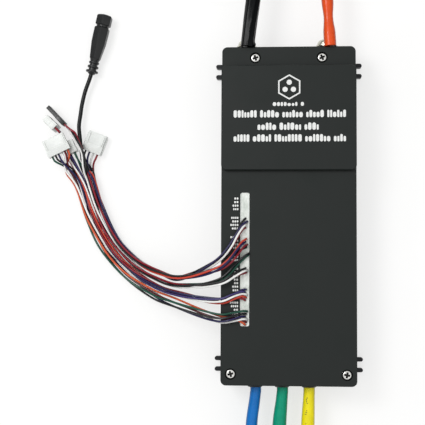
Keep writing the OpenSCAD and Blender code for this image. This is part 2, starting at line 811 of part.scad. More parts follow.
// A crimp housing: wires enter at its rear, at the origin, and it points along +Y
module plug_body(size, wires) {
    w = size[0];
    l = size[1];
    t = size[2];
    wire_pitch = (w - plug_edges) / max(wires - 1, 1);
    difference() {
        box_at([-w / 2, w / 2], [0, l], [0, t]);
        for (k = [0:wires - 1]) translate([(k - (wires - 1) / 2) * wire_pitch, 0, 0]) {
            translate([0, 0, t / 2]) y_cylinder(wire_d / 2 + gap, -past, l * 0.3);
            translate([-crimp_window[0] / 2, l * 0.45, t - crimp_window[2]])
                cube(crimp_window + [0, 0, past]);
            translate([-pin_socket / 2, l - pin_socket_depth, (t - pin_socket) / 2])
                cube([pin_socket, pin_socket_depth + past, pin_socket]);
        }
    }
}

// Places a housing by its rear point and heading, lying flat or standing on its edge
module small_plug(housing) {
    size = housing[2];
    translate(housing[0]) rotate([0, 0, housing[1] - 90])
        if (housing[4] == 1)
            translate([size[2] / 2, 0, size[0] / 2]) rotate([0, -90, 0]) plug_body(size, housing[3]);
        else
            plug_body(size, housing[3]);
}

module comm_plug() { color("white") small_plug(comm_housing); }
module sensor_plug() { color("white") small_plug(sensor_housing); }
module throttle_plug() { color("#111111") small_plug(throttle_housing); }
module switch_plug() { color("white") small_plug(switch_housing); }
module hall_plug() { color("white") small_plug(hall_housing); }

// ---------------------------------------------------------------- display cable and its round plug

module at_display_plug() {
    translate(display_tip) rotate([0, 0, display_heading - 90]) children();
}

module display_cable_root() {
    color("#15181a") cord(spline([[-120.9, 33, 6.6], [-121.8, 40, 7.3], [-122.6, 45, 6.4],
                                  [-123.7, 53, 4.8], [-123.1, 59.3, 4.4]], 5), cable_r, 12);
}

module display_cable() {
    heading = [cos(display_heading), sin(display_heading), 0];
    plug_end = display_tip - 25 * heading;
    boot_end = display_tip - 37 * heading;
    color("#15181a") cord(spline([[-122.9, 60.7, 4.4], [-122.2, 66, 4.4], [-120.4, 73.9, 4.5],
                                  boot_end, plug_end], 5), cable_r, 12);
}

module display_plug_shell() {
    color("#15181a") at_display_plug() difference() {
        union() {
            // The front block, the groove behind it, the grip and its tapering tail
            y_hexagon(4.9, 4.9, -6.2, 0);
            y_cylinder(3.8, -7.4, -6);
            y_hexagon(4.8, 4.8, -18.2, -7.2);
            y_hexagon(3.6, 4.8, -27, -18);
        }
        y_cylinder(socket_r, -socket_depth, past);
        y_cylinder(2.3, -14, past);
        y_cylinder(cord_bore_r, -28, past);
    }
}

module display_plug_insert() {
    color("#2b2f31") at_display_plug() difference() {
        y_cylinder(2.3 - gap, -13.9, -socket_depth - 0.1);
        for (a = [0:72:288])
            rotate([0, a, 0]) translate([1.3, 0, 0]) y_cylinder(0.35, -10, 0);
    }
}

module display_plug_boot() {
    color("#111314") at_display_plug() difference() {
        union() {
            y_cylinder(2.5, -36, -27 - gap);
            for (k = [0:2]) y_cylinder(3.1 + 0.25 * k, -30 - 2.6 * k, -28.8 - 2.6 * k);
        }
        y_cylinder(cord_bore_r, -36 - past, -26);
    }
}

heatsink_base();
top_cover();
cover_screws();
thermal_pad();
power_board();
mosfets();
phase_busbars();
positive_terminal();
negative_terminal();
capacitor_cans();
capacitor_sleeves();
capacitor_leads();
current_sensors();
standoffs();
board_screws();
control_board();
processor_chip();
gate_drivers();
board_link_header();
board_link_pins();
signal_headers();
header_pins();
signal_plugs();
signal_wire_ends();
slot_sealant();
terminal_bolts();
terminal_washers();
cable_lugs();
conductor_stubs();
phase_lead_stubs();
phase_grommets();
positive_sleeve();
negative_sleeve();
positive_lead();
positive_core();
negative_lead();
negative_core();
blue_lead();
blue_core();
green_lead();
green_core();
yellow_lead();
yellow_core();
comm_loom();
display_loom();
sensor_loom();
throttle_loom();
switch_loom();
hall_loom();
comm_plug();
sensor_plug();
throttle_plug();
switch_plug();
hall_plug();
display_cable_root();
display_cable();
display_plug_shell();
display_plug_insert();
display_plug_boot();
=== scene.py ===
# Looks for the speed controller: its soft parts, fine detail, materials, light and camera.
# Every length is in millimetres, in the frame of the CAD part, until add_mesh() makes it metres.
import json
import random
from math import atan2, cos, exp, pi, radians, sin, sqrt

import bpy
from mathutils import Matrix, Vector, noise
from mathutils.kdtree import KDTree


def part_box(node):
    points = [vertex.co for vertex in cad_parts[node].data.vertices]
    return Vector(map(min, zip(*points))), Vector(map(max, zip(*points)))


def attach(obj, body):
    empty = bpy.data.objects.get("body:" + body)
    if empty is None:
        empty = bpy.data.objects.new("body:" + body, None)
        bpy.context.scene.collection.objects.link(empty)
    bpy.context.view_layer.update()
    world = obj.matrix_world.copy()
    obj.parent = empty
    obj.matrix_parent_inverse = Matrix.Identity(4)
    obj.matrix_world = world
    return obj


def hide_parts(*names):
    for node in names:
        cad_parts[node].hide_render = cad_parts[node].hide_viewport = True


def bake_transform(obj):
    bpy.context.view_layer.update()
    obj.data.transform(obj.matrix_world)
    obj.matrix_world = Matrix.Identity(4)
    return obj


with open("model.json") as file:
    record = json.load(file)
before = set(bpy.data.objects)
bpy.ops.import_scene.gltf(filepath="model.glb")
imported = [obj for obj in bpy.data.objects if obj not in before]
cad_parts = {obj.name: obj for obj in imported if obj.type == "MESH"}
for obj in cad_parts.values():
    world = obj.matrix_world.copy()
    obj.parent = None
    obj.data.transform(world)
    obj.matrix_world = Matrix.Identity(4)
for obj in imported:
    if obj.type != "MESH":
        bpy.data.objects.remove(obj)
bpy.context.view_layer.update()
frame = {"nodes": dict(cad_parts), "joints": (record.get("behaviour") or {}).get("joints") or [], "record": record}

# Blender's noise vectors take their offsets from the clock unless they are given a seed
noise.seed_set(1)
MM = 0.001
TAU = 2 * pi

# ---- sizes from the frame


def node_points(node):
    """The different points of a CAD node's mesh, in a fixed order."""
    vertices = frame["nodes"][node].data.vertices
    return [Vector(p) for p in sorted({tuple(round(c / MM, 3) for c in v.co) for v in vertices})]


def box_of(node):
    low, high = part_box(node)
    return Vector(low) / MM, Vector(high) / MM


def row_along_y(node, gap):
    """Y of each solid in a row of them, from the battery end down."""
    levels = sorted({p[1] for p in node_points(node)}, reverse=True)
    groups = [[levels[0]]]
    for y in levels[1:]:
        if groups[-1][-1] - y > gap:
            groups.append([])
        groups[-1].append(y)
    return [(g[0] + g[-1]) / 2 for g in groups]


def joint_named(name):
    return next(j for j in frame["joints"] if j["name"] == name)


def joint_place(name):
    return Vector(joint_named(name)["pos_m"]) / MM


CASE_HALF_W, WALL_Y, BLOCK_Z = box_of("top_cover")[1]
SEAL_LOW, SEAL_HIGH = box_of("slot_sealant")
WIRE_ENDS_LOW, WIRE_ENDS_HIGH = box_of("signal_wire_ends")
WIRE_R = (WIRE_ENDS_HIGH.x - WIRE_ENDS_LOW.x) / 2
PIN_X = (WIRE_ENDS_HIGH.x + WIRE_ENDS_LOW.x) / 2
DECK_Z = WIRE_ENDS_HIGH.z - 0.8
WIRED_PIN_Y = row_along_y("signal_wire_ends", 0.5)
ALL_PIN_Y = row_along_y("header_pins", 0.5)

# ---- meshes


def new_object(name, data):
    made = bpy.data.objects.new(name, data)
    bpy.context.scene.collection.objects.link(made)
    return made


def add_mesh(name, points, faces, material, sharp=35):
    mesh = bpy.data.meshes.new(name)
    mesh.from_pydata([Vector(p) * MM for p in points], [], faces)
    mesh.materials.append(material)
    mesh.validate()
    mesh.update()
    smooth_mesh(mesh, sharp)
    return new_object(name, mesh)


def joined(parts):
    """One list of points and one of faces from several (points, faces) pairs."""
    points = []
    faces = []
    for part_points, part_faces in parts:
        start = len(points)
        points.extend(part_points)
        faces.extend([tuple(start + i for i in face) for face in part_faces])
    return points, faces


def placed(part, matrix):
    points, faces = part
    return [matrix @ Vector(p) for p in points], faces


def skin(rings, closed_ends=True):
    """Points and faces of a closed skin over rings that all have the same number of points."""
    sides = len(rings[0])
    points = [p for ring in rings for p in ring]
    faces = []
    for i in range(len(rings) - 1):
        for k in range(sides):
            m = (k + 1) % sides
            faces.append((i * sides + k, i * sides + m, (i + 1) * sides + m, (i + 1) * sides + k))
    if closed_ends:
        faces.append(tuple(reversed(range(sides))))
        faces.append(tuple((len(rings) - 1) * sides + k for k in range(sides)))
    return points, faces


def catmull(a, b, c, d, t):
    bend = 2 * a - 5 * b + 4 * c - d
    twist = 3 * b - a - 3 * c + d
    return 0.5 * (2 * b + (c - a) * t + bend * t ** 2 + twist * t ** 3)


def smooth_path(knots, step):
    """An evenly stepped smooth curve through the knots."""
    fine = []
    last = len(knots) - 1
    for i in range(last):
        a, b, c, d = (knots[max(0, min(last, i + k))] for k in (-1, 0, 1, 2))
        parts = max(4, int((c - b).length / 0.4))
        fine.extend(catmull(a, b, c, d, t / parts) for t in range(parts))
    fine.append(knots[last])
    return resampled(fine, step)


def resampled(points, step):
    """The same line with points an even distance apart, close to `step`."""
    reach = [0.0]
    for a, b in zip(points, points[1:]):
        reach.append(reach[-1] + (b - a).length)
    count = max(2, round(reach[-1] / step))
    even = []
    i = 0
    for k in range(count + 1):
        want = reach[-1] * k / count
        while i < len(points) - 2 and reach[i + 1] < want:
            i += 1
        span = max(reach[i + 1] - reach[i], 1e-9)
        even.append(points[i].lerp(points[i + 1], (want - reach[i]) / span))
    return even


def carried_frames(path):
    """(tangent, side, up) at each point of a path, turning as little as possible along it."""
    frames = []
    up = Vector((0, 0, 1))
    for i in range(len(path)):
        tangent = (path[min(i + 1, len(path) - 1)] - path[max(i - 1, 0)]).normalized()
        if i == 0 and abs(tangent.z) > 0.9:
            up = Vector((1, 0, 0))
        up = (up - tangent * up.dot(tangent)).normalized()
        frames.append((tangent, tangent.cross(up), up))
    return frames


def ring_at(centre, side, up, sides, radius):
    """A ring of points; radius(angle) is the distance from the centre, angle 0 is up."""
    ring = []
    for k in range(sides):
        angle = TAU * k / sides
        ring.append(centre + (side * sin(angle) + up * cos(angle)) * radius(angle))
    return ring


def ring_about_y(y, sides, radius):
    return ring_at(Vector((0, y, 0)), Vector((1, 0, 0)), Vector((0, 0, 1)), sides, radius)


def tube(path, radius, sides, first_rings=(), last_rings=()):
    """A closed tube. radius(along, angle) is in millimetres, and first_rings and last_rings
    are (distance beyond the end, radius) pairs that round off or hollow out an end."""
    frames = carried_frames(path)
    rings = []
    along = 0.0
    tangent, side, up = frames[0]
    for shift, r in first_rings:
        rings.append(ring_at(path[0] - tangent * shift, side, up, sides, lambda angle: r))
    for i, centre in enumerate(path):
        if i:
            along += (centre - path[i - 1]).length
        tangent, side, up = frames[i]
        rings.append(ring_at(centre, side, up, sides, lambda angle: radius(along, angle)))
    for shift, r in last_rings:
        rings.append(ring_at(path[-1] + tangent * shift, side, up, sides, lambda angle: r))
    return skin(rings)


def lathe(profile, matrix, sides=64):
    """A solid of revolution about local Y, from (y, radius) pairs."""
    rings = [ring_about_y(y, sides, lambda angle: r) for y, r in profile]
    return placed(skin(rings), matrix)


def dome(y, radius, height, inset, steps):
    """The rounded part of a screw head's profile, from its widest point at y towards its top."""
    rises = [TAU / 4 * k / steps for k in range(1, steps)]
    return [(y + height * sin(rise), radius - inset + inset * cos(rise)) for rise in rises]


def block(low, high):
    """A closed box between two corners."""
    points = [(x, y, z) for x in (low[0], high[0]) for y in (low[1], high[1]) for z in (low[2], high[2])]
    faces = [(0, 1, 3, 2), (4, 6, 7, 5), (0, 4, 5, 1), (2, 3, 7, 6), (0, 2, 6, 4), (1, 5, 7, 3)]
    return points, faces


def bevel(made, width, segments=2, angle=40):
    edge = made.modifiers.new("edge", "BEVEL")
    edge.width = width * MM
    edge.segments = segments
    edge.limit_method = "ANGLE"
    edge.angle_limit = radians(angle)


def carve(made, cutters, operation="DIFFERENCE", material=None):
    """Cuts parts out of the object, or adds them to it, and keeps the result as its mesh.
    The new faces get their own material if one is given."""
    tool = add_mesh(made.name + "_tool", *joined(cutters), material or made.data.materials[0])
    cut = made.modifiers.new("cut", "BOOLEAN")
    cut.operation = operation
    cut.object = tool
    cut.solver = "EXACT"
    cut.use_self = True
    cut.material_mode = "TRANSFER"
    bake(made)
    bpy.data.objects.remove(tool)


def bake(made):
    """Replaces the object's mesh by what its modifiers make of it."""
    bpy.context.view_layer.update()
    seen = made.evaluated_get(bpy.context.evaluated_depsgraph_get())
    mesh = bpy.data.meshes.new_from_object(seen)
    made.modifiers.clear()
    made.data = mesh


def hand_over(made, body, slot, *nodes):
    """Puts a finished piece on its body and hides the CAD nodes it replaces; slot is not used."""
    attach(made, body)
    label(made, slot, *nodes)


def add_piece(name, part, body, slot, *nodes, sharp=35):
    """A finished piece from (points, faces), in its slot's material and on its body."""
    made = add_mesh(name, *part, MATERIALS[slot], sharp)
    hand_over(made, body, slot, *nodes)


def hand_over_bending(made, bodies, start, end, slot, *nodes):
    """Bakes the placement of a piece that runs from one body to another into its mesh and hides the CAD nodes it
    replaces; bodies, start, end and slot are not used.
    """
    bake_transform(made)
    label(made, slot, *nodes)


def label(made, slot, *nodes):
    if nodes:
        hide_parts(*nodes)


def smooth_mesh(mesh, sharp):
    """Smooth shading, with edges steeper than `sharp` degrees kept crisp."""
    mesh.shade_smooth()
    mesh.set_sharp_from_angle(angle=radians(sharp))


def wobble(place, seed):
    """A smooth random offset, at most about 1 each way."""
    return noise.noise_vector(Vector(place) + Vector((seed * 7.3, seed * 3.1, seed * 5.7)))


# ---- materials


class Finish:
    """A node material that is built up with short calls; grain sizes are in millimetres."""

    def __init__(self, name):
        self.material = bpy.data.materials.new(name)
        self.material.use_nodes = True
        self.tree = self.material.node_tree
        self.shader = self.tree.nodes["Principled BSDF"]
        self.place = self.add("ShaderNodeTexCoord").outputs["Object"]

    def add(self, kind, inputs=None, **settings):
        node = self.tree.nodes.new(kind)
        for key, value in settings.items():
            setattr(node, key, value)
        for key, value in (inputs or {}).items():
            self.put(node, key, value)
        return node

    def put(self, node, key, value):
        """Sets an input to a value, or links an output to it."""
        if isinstance(value, bpy.types.NodeSocket):
            self.tree.links.new(value, node.inputs[key])
        else:
            node.inputs[key].default_value = value

    def set(self, **inputs):
        for key, value in inputs.items():
            self.put(self.shader, key.replace("_", " "), value)

    def noise(self, grain, detail=2.0, stretch=(1, 1, 1)):
        place = self.add("ShaderNodeMapping", {"Vector": self.place, "Scale": stretch}).outputs["Vector"]
        inputs = {"Vector": place, "Scale": 1 / (grain * MM), "Detail": detail}
        return self.add("ShaderNodeTexNoise", inputs).outputs["Fac"]

    def between(self, share, low, high, start=0.0, end=1.0):
        inputs = {"Value": share, "From Min": start, "From Max": end, "To Min": low, "To Max": high}
        return self.add("ShaderNodeMapRange", inputs).outputs["Result"]

    def mix(self, share, first, second):
        return self.add("ShaderNodeMix", {0: share, 6: first, 7: second}, data_type="RGBA").outputs[2]

    def maths(self, operation, first, second=0.0):
        return self.add("ShaderNodeMath", {0: first, 1: second}, operation=operation).outputs[0]

    def bump(self, layers):
        """Stacks (height, depth in mm) layers into the shader's normal."""
        normal = None
        for height, depth in layers:
            node = self.add("ShaderNodeBump", {"Height": height, "Distance": depth * MM, "Strength": 1.0})
            if normal:
                self.put(node, "Normal", normal)
            normal = node.outputs["Normal"]
        self.set(Normal=normal)

    def cavity(self, reach):
        """1 in the open, towards 0 deep in a recess or a joint."""
        return self.add("ShaderNodeAmbientOcclusion", {"Distance": reach * MM}, samples=4).outputs["AO"]

    def edges(self, width):
        """0 on flat ground, towards 1 on an outside or inside edge."""
        rounded = self.add("ShaderNodeBevel", {"Radius": width * MM}, samples=4).outputs["Normal"]
        flat = self.add("ShaderNodeNewGeometry").outputs["Normal"]
        facing = self.add("ShaderNodeVectorMath", {0: rounded, 1: flat}, operation="DOT_PRODUCT")
        return self.between(facing.outputs["Value"], 1.0, 0.0, 0.7, 0.995)


def tone(red, green, blue):
    """A linear colour from the 0 to 255 values that a screen shows."""
    def linear(c):
        c /= 255
        return c / 12.92 if c <= 0.04045 else ((c + 0.055) / 1.055) ** 2.4
    return (linear(red), linear(green), linear(blue), 1.0)


def scaled(colour, factor):
    return tuple(min(1.0, c * factor) for c in colour[:3]) + (1.0,)


def surface(name, colour, rough, mottle=0.12, patch=6.0, grain=0.25, depth=0.01, metal=0.0, wear=0.0,
            hollow=0.55, rim=0.0, **extra):
    """The common finish: colour that drifts in patches, fine grain, uneven roughness, painted shade in
    recesses and, with an edge weight above 0, paler edges that are partly worn and partly a painted
    highlight. rim paints shade on what is seen at a slant."""
    f = Finish(name)
    drift = f.noise(patch, 3.0)
    fine = f.noise(grain, 2.0)
    patches = f.between(drift, 0.0, 1.0, 0.3, 0.7)
    shade = f.mix(patches, scaled(colour, 1 - mottle), scaled(colour, 1 + mottle))
    shade = f.mix(f.between(fine, 0.0, 0.35, 0.35, 0.75), shade, scaled(colour, 1 + 2 * mottle))
    # Paler edges: partly worn by rubbing, partly a painted highlight along each edge.
    if wear:
        rubbed_and_lit_edges = f.maths("MULTIPLY", f.edges(0.35), f.between(f.noise(1.6), 0.3, 1.0, 0.35, 0.6))
        shade = f.mix(f.maths("MULTIPLY", rubbed_and_lit_edges, wear), shade, scaled(colour, 3.0))
    # Painted shade: what is seen at a slant, such as a wire's sides, turns darker.
    if rim:
        slant = f.add("ShaderNodeLayerWeight", {"Blend": 0.5}).outputs["Facing"]
        shade = f.mix(f.between(slant, 0.0, rim, 0.25, 0.9), shade, scaled(colour, 0.25))
    # Painted shade in recesses and joints, as deep as hollow sets.
    recess_shade_mask = f.between(f.cavity(2.0), 1 - hollow, 1.0)
    shade = f.mix(recess_shade_mask, scaled(colour, 0.12), shade)
    f.set(Base_Color=shade, Metallic=metal, Roughness=f.between(drift, rough - 0.06, rough + 0.06, 0.3, 0.7))
    f.set(**extra)
    f.bump([(drift, depth * 3), (fine, depth)])
    return f.material


def wire_finish(name, colour):
    """Glossy PVC, with soft streaks along the wire and painted shade darkening its sides."""
    return surface(name, colour, 0.36, mottle=0.1, patch=3.0, grain=0.4, depth=0.004, hollow=0.75,
                   rim=0.5, Specular_IOR_Level=0.3, Coat_Weight=0.15, Coat_Roughness=0.2)


def silicone(name, colour, rough, specular):
    """Silicone insulation: a satin skin with faint dust, a little light inside it, and painted shade that darkens
    its sides where they are seen at a slant.
    """
    return surface(name, colour, rough, mottle=0.08, patch=5.0, grain=0.5, depth=0.008, hollow=0.6,
                   Subsurface_Weight=0.05, Subsurface_Radius=(0.002, 0.001, 0.0006), Subsurface_Scale=0.5,
                   Specular_IOR_Level=specular, Coat_Weight=0.8 * specular, Coat_Roughness=0.2, rim=0.7)


# Each plain material slot: its colour, its roughness, and what differs from the common finish
# In it, hollow sets painted shade in recesses, rim painted shade at a slant, and the edge weight paler edges,
# partly worn and partly a painted highlight.
SURFACES = {
    # The cover: its paler edges are a painted highlight with some rubbing, and its step and slot edges take
    # painted shade.
    "cover_plastic": ((18, 24, 22), 0.52, dict(
        mottle=0.1, patch=18.0, grain=0.22, depth=0.006, wear=0.25, hollow=0.9, Specular_IOR_Level=0.28)),
    "anodised_base": ((30, 31, 33), 0.42, dict(patch=12.0, grain=0.15, depth=0.004, metal=0.6, wear=0.5)),
    # The screws: deep painted shade in their recesses.
    "screw_steel": ((214, 214, 210), 0.22, dict(
        mottle=0.06, patch=1.2, grain=0.08, depth=0.002, metal=1.0, hollow=0.97)),
    "thermal_silicone": ((150, 168, 190), 0.7, dict(grain=0.4, depth=0.02)),
    "aluminium_board": ((196, 198, 200), 0.35, dict(metal=1.0, patch=8.0)),
    "chip_black": ((24, 25, 28), 0.55, dict(patch=2.0, grain=0.12, depth=0.008)),
    "copper": ((196, 116, 72), 0.32, dict(metal=1.0, mottle=0.15, patch=3.0)),
    "can_aluminium": ((200, 202, 205), 0.28, dict(metal=1.0, patch=4.0)),
    "can_sleeve": ((26, 30, 38), 0.3, dict(patch=5.0, grain=0.4)),
    "tinned_wire": ((200, 202, 204), 0.3, dict(metal=1.0, patch=0.8, grain=0.1, hollow=0.85)),
    "standoff_brass": ((190, 152, 76), 0.3, dict(metal=1.0, patch=2.0)),
    "board_green": ((16, 72, 40), 0.35, dict(patch=9.0, grain=0.5)),
    "pin_gold": ((226, 186, 92), 0.25, dict(metal=1.0, patch=1.0)),
    # The white plugs: painted shade at a slant and in their holes.
    "nylon_white": ((216, 219, 216), 0.38, dict(
        mottle=0.04, patch=4.0, grain=0.3, depth=0.006, hollow=0.5, rim=0.25, Subsurface_Weight=0.12,
        Subsurface_Scale=1.0, Subsurface_Radius=(0.0012, 0.0012, 0.0011))),
    "plated_steel": ((205, 203, 190), 0.25, dict(metal=1.0, patch=1.5, grain=0.1, depth=0.003, hollow=0.8)),
    "grommet_rubber": ((16, 17, 18), 0.6, dict(patch=3.0, grain=0.3, depth=0.02)),
    # The black plugs: their paler edges are a painted highlight.
    "plug_black": ((7, 10, 11), 0.36, dict(patch=4.0, wear=1.0, Specular_IOR_Level=0.5)),
    "cable_black": ((6, 9, 10), 0.36, dict(patch=3.0, grain=0.5, Specular_IOR_Level=0.26)),
    # Near-black steel for the cross recess walls: painted shade deep in the screw heads.
    "recess_painted_shade": ((30, 29, 28), 0.5, dict(patch=0.6, grain=0.1, metal=0.6, hollow=0.9)),
    "lead_ink": ((104, 98, 22), 0.5, dict(mottle=0.3, patch=0.8, grain=0.2)),
}
# Each power lead's skin: its colour, its roughness and how much light it throws back
SILICONES = {
    "silicone_red": ((216, 72, 4), 0.36, 0.25),
    "silicone_black": ((2, 4, 6), 0.22, 0.08),
    "silicone_blue": ((0, 104, 180), 0.3, 0.2),
    "silicone_green": ((0, 144, 112), 0.3, 0.14),
    "silicone_yellow": ((232, 218, 0), 0.36, 0.25),
}
WIRE_COLOURS = {
    "black": (20, 21, 24),
    "white": (234, 234, 232),
    "navy": (26, 22, 72),
    "crimson": (132, 20, 38),
    "orange": (206, 88, 50),
    "brick": (192, 62, 44),
    "maroon": (92, 18, 30),
    "green": (18, 74, 58),
    "violet": (56, 46, 104),
}


def sealant_finish():
    """Cured white sealant: cloudy patches, small pits, a wet-looking skin, and painted shade in its hollows and
    against the wires and walls.
    """
    f = Finish("sealant_white")
    cloud = f.noise(4.0, 4.0, (1, 0.5, 1))
    pit = f.noise(0.7, 3.0)
    colour = f.mix(f.between(cloud, 0.0, 1.0, 0.35, 0.65), tone(200, 206, 199), tone(240, 242, 238))
    colour = f.mix(f.between(pit, 0.0, 0.4, 0.55, 0.75), colour, tone(186, 196, 186))
    # Painted shade: the sealant turns grey-green in hollows and against the wires and walls.
    colour = f.mix(f.between(f.cavity(1.2), 0.35, 1.0), tone(70, 78, 72), colour)
    f.set(Base_Color=colour, Roughness=f.between(pit, 0.3, 0.55), Subsurface_Weight=0.2,
          Subsurface_Radius=(0.001, 0.001, 0.001), Subsurface_Scale=0.8)
    f.bump([(cloud, 0.5), (pit, 0.15)])
    return f.material


def ink_finish():
    """Screen-printed white ink, thin enough to show the cover's grain."""
    f = Finish("print_ink")
    thin = f.noise(0.35, 3.0)
    colour = f.mix(f.between(thin, 0.0, 1.0, 0.35, 0.6), tone(200, 202, 200), tone(240, 241, 239))
    f.set(Base_Color=colour, Roughness=0.55)
    f.bump([(thin, 0.01)])
    return f.material


MATERIALS = {
    name: surface(name, tone(*colour), rough, **rest) for name, (colour, rough, rest) in SURFACES.items()
}
for name, (colour, rough, specular) in SILICONES.items():
    MATERIALS[name] = silicone(name, tone(*colour), rough, specular)
WIRE_MATERIALS = {name: wire_finish("wire_" + name, tone(*colour)) for name, colour in WIRE_COLOURS.items()}
MATERIALS["wire_insulation"] = wire_finish("wire_insulation", tone(30, 32, 36))
MATERIALS["sealant_white"] = sealant_finish()
INK = ink_finish()


def dress_cad_nodes():
    """Each CAD node takes the material of the slot that the record gives it."""
    slots = {row["node"]: row["material_slot"] for row in frame["record"]["subparts"]}
    for node, made in frame["nodes"].items():
        made.data.materials.clear()
        made.data.materials.append(MATERIALS[slots[node]])


# ---- signal wires

# Points that each ring of a CAD loom or cable has
LOOM_SIDES = 10
CABLE_SIDES = 12
CABLE_R = 1.2
# How far the display wires stop short of their loom's end, inside the round cable
MOUTH_BACK = 5
# How far from the slot and from the plug the wires run apart before they bundle up
FAN_IN = 9.0
FAN_OUT = 12.0
# Where each loom's wires break the sealant: shift along Y from their pins, their closeness, and
# how far across the slot
EXITS = {
    "comm": (0.0, 0.9, 0.4),
    "display": (-0.4, 0.8, 0.4),
    "sensor": (2.4, 0.5, 1.5),
    "throttle": (1.2, 0.6, 0.5),
    "switch": (-4.6, 0.75, 0.3),
    "hall": (-3.6, 0.75, 0.4),
}
# Two places on the looms either side of the cover's left edge, passed with each wire but not used
LIFT_START = Vector((-27.0, -30.0, 26.5))
LIFT_END = Vector((-46.0, -30.0, 26.5))

# What the end walls of a plug take up of its width, and how far a wire runs into it
PLUG_EDGES = 3.9
INTO_PLUG = 1.8
# Each small plug: rear point, heading in degrees, (width, length, thickness), lying on its edge
PLUGS = {
    "comm": ((-116.35, 37.8, 0.3), 69.0, (11.4, 12.0, 5.3), False),
    "sensor": ((-126.4, 37.9, 0.3), 115.0, (5.9, 7.7, 4.5), True),
    "throttle": ((-132.5, 54.5, 0.3), 133.5, (7.6, 14.0, 2.54), True),
    "switch": ((-136.9, 51.7, 0.3), 134.0, (11.9, 8.4, 4.5), True),
    "hall": ((-134.0, 36.7, 6.3), 116.0, (13.9, 10.5, 4.5), False),
}
# Each loom: its wires' colours in pin order, turns of twist, how loosely it is bundled, and the
# turn that its twist starts from
LOOMS = {
    "comm": (("black", "navy", "white", "crimson"), 1.3, 1.15, 0.75),
    "display": (("brick", "navy", "crimson", "black"), 1.0, 1.15, 0.0),
    "sensor": (("black", "green"), 1.6, 1.2, 0.0),
    "throttle": (("black", "white", "crimson"), 1.2, 1.2, 0.0),
    "switch": (("navy", "violet", "white", "brick", "crimson"), 1.1, 1.2, 0.88),
    "hall": (("green", "black", "navy", "white", "maroon", "orange"), 0.8, 1.9, 0.95),
}
# Looms that pass over the round cable: how far from their plug, over what length, and the detour
OVER_CABLE = {"throttle": (20.0, 10.0, Vector((4.5, 0, 3.5)))}
# Spread of a bundle in wire radii, by its number of wires
BUNDLE_SPREAD = {2: 1.0, 3: 1.16, 4: 1.42, 5: 1.75, 6: 2.05}


def cord_line(node, sides, first):
    """Centres of the rings of a CAD cord, walking away from the end that lies furthest along `first`."""
    left = sorted(node_points(node), key=lambda p: -p.dot(first))
    ring, left = left[:sides], left[sides:]
    centres = [sum(ring, Vector()) / sides]
    heading = -first
    while len(left) >= sides:
        near = sorted(left, key=lambda p: (p - centres[-1]).length)[: 3 * sides]
        ring = sorted(near, key=lambda p: (p - centres[-1]).dot(heading))[:sides]
        centres.append(sum(ring, Vector()) / sides)
        heading = (centres[-1] - centres[-2]).normalized()
        left = [p for p in left if p not in ring]
    return centres


def loom_line(name):
    return smooth_path(cord_line(name + "_loom", LOOM_SIDES, Vector((1, 0, 0))), 1.0)


def cable_line(node):
    return cord_line(node, CABLE_SIDES, Vector((0, -1, 0)))


def cable_mouth():
    """Where the display wires go into their round cable, a little way down the bundle."""
    return loom_line("display")[-7] + Vector((0, 0, 0.3))


def plug_matrix(name):
    rear, heading, size, on_edge = PLUGS[name]
    matrix = Matrix.Translation(rear) @ Matrix.Rotation(radians(heading - 90), 4, "Z")
    if on_edge:
        stand = Matrix.Translation((size[2] / 2, 0, size[0] / 2))
        matrix = matrix @ stand @ Matrix.Rotation(radians(-90), 4, "Y")
    return matrix


def wire_pitch(width, wires):
    return (width - PLUG_EDGES) / max(wires - 1, 1)


def entry_points(name, wires):
    """Where each wire meets the rear of its plug, and the way it goes in; None without a plug."""
    if name not in PLUGS:
        return [None] * wires, None
    size = PLUGS[name][2]
    matrix = plug_matrix(name)
    way_in = (matrix.to_3x3() @ Vector((0, 1, 0))).normalized()
    pitch = wire_pitch(size[0], wires)
    return [matrix @ Vector(((k - (wires - 1) / 2) * pitch, 0, size[2] / 2)) for k in range(wires)], way_in


def packed_place(k, wires, looseness):
    """Place of wire k in the cross-section of its bundle. Of six wires, the fifth is in the middle."""
    spread = BUNDLE_SPREAD[wires] * WIRE_R * looseness
    ring = wires
    if wires >= 6:
        ring = wires - 1
        if k == wires - 2:
            return 0.0, 0.0
    angle = TAU * min(k, ring - 1) / ring
    return spread * cos(angle), spread * sin(angle)


def ease(t):
    t = min(max(t, 0.0), 1.0)
    return t * t * (3 - 2 * t)


def wire_lines(name, first_pin, seed):
    """The centre line of each wire of a loom, from inside the sealant to inside its plug."""
    count = len(LOOMS[name][0])
    spine = loom_line(name)
    shift, closeness, sideways = EXITS[name]
    pins = WIRED_PIN_Y[first_pin:first_pin + count]
    middle = sum(pins) / count
    ends, way_in = entry_points(name, count)
    lines = []
    for k in range(count):
        out_x = PIN_X + sideways + 0.5 * ((k * 5 + seed) % 3)
        out_y = middle + shift + (pins[k] - middle) * closeness
        out = Vector((out_x, out_y, DECK_Z))
        root = [Vector((out_x - 0.2, out_y + 0.6, SEAL_LOW.z + 0.4)), Vector((out_x, out_y, DECK_Z - 0.1))]
        line = bundled_line(name, k, spine, out, ends[k], way_in, seed)
        if ends[k]:
            line[-1] = ends[k] + way_in * INTO_PLUG
        else:
            line = line[:-MOUTH_BACK]
        lines.append(resampled(smooth_path(root + line[1:], 0.9), 0.9))
    return lines


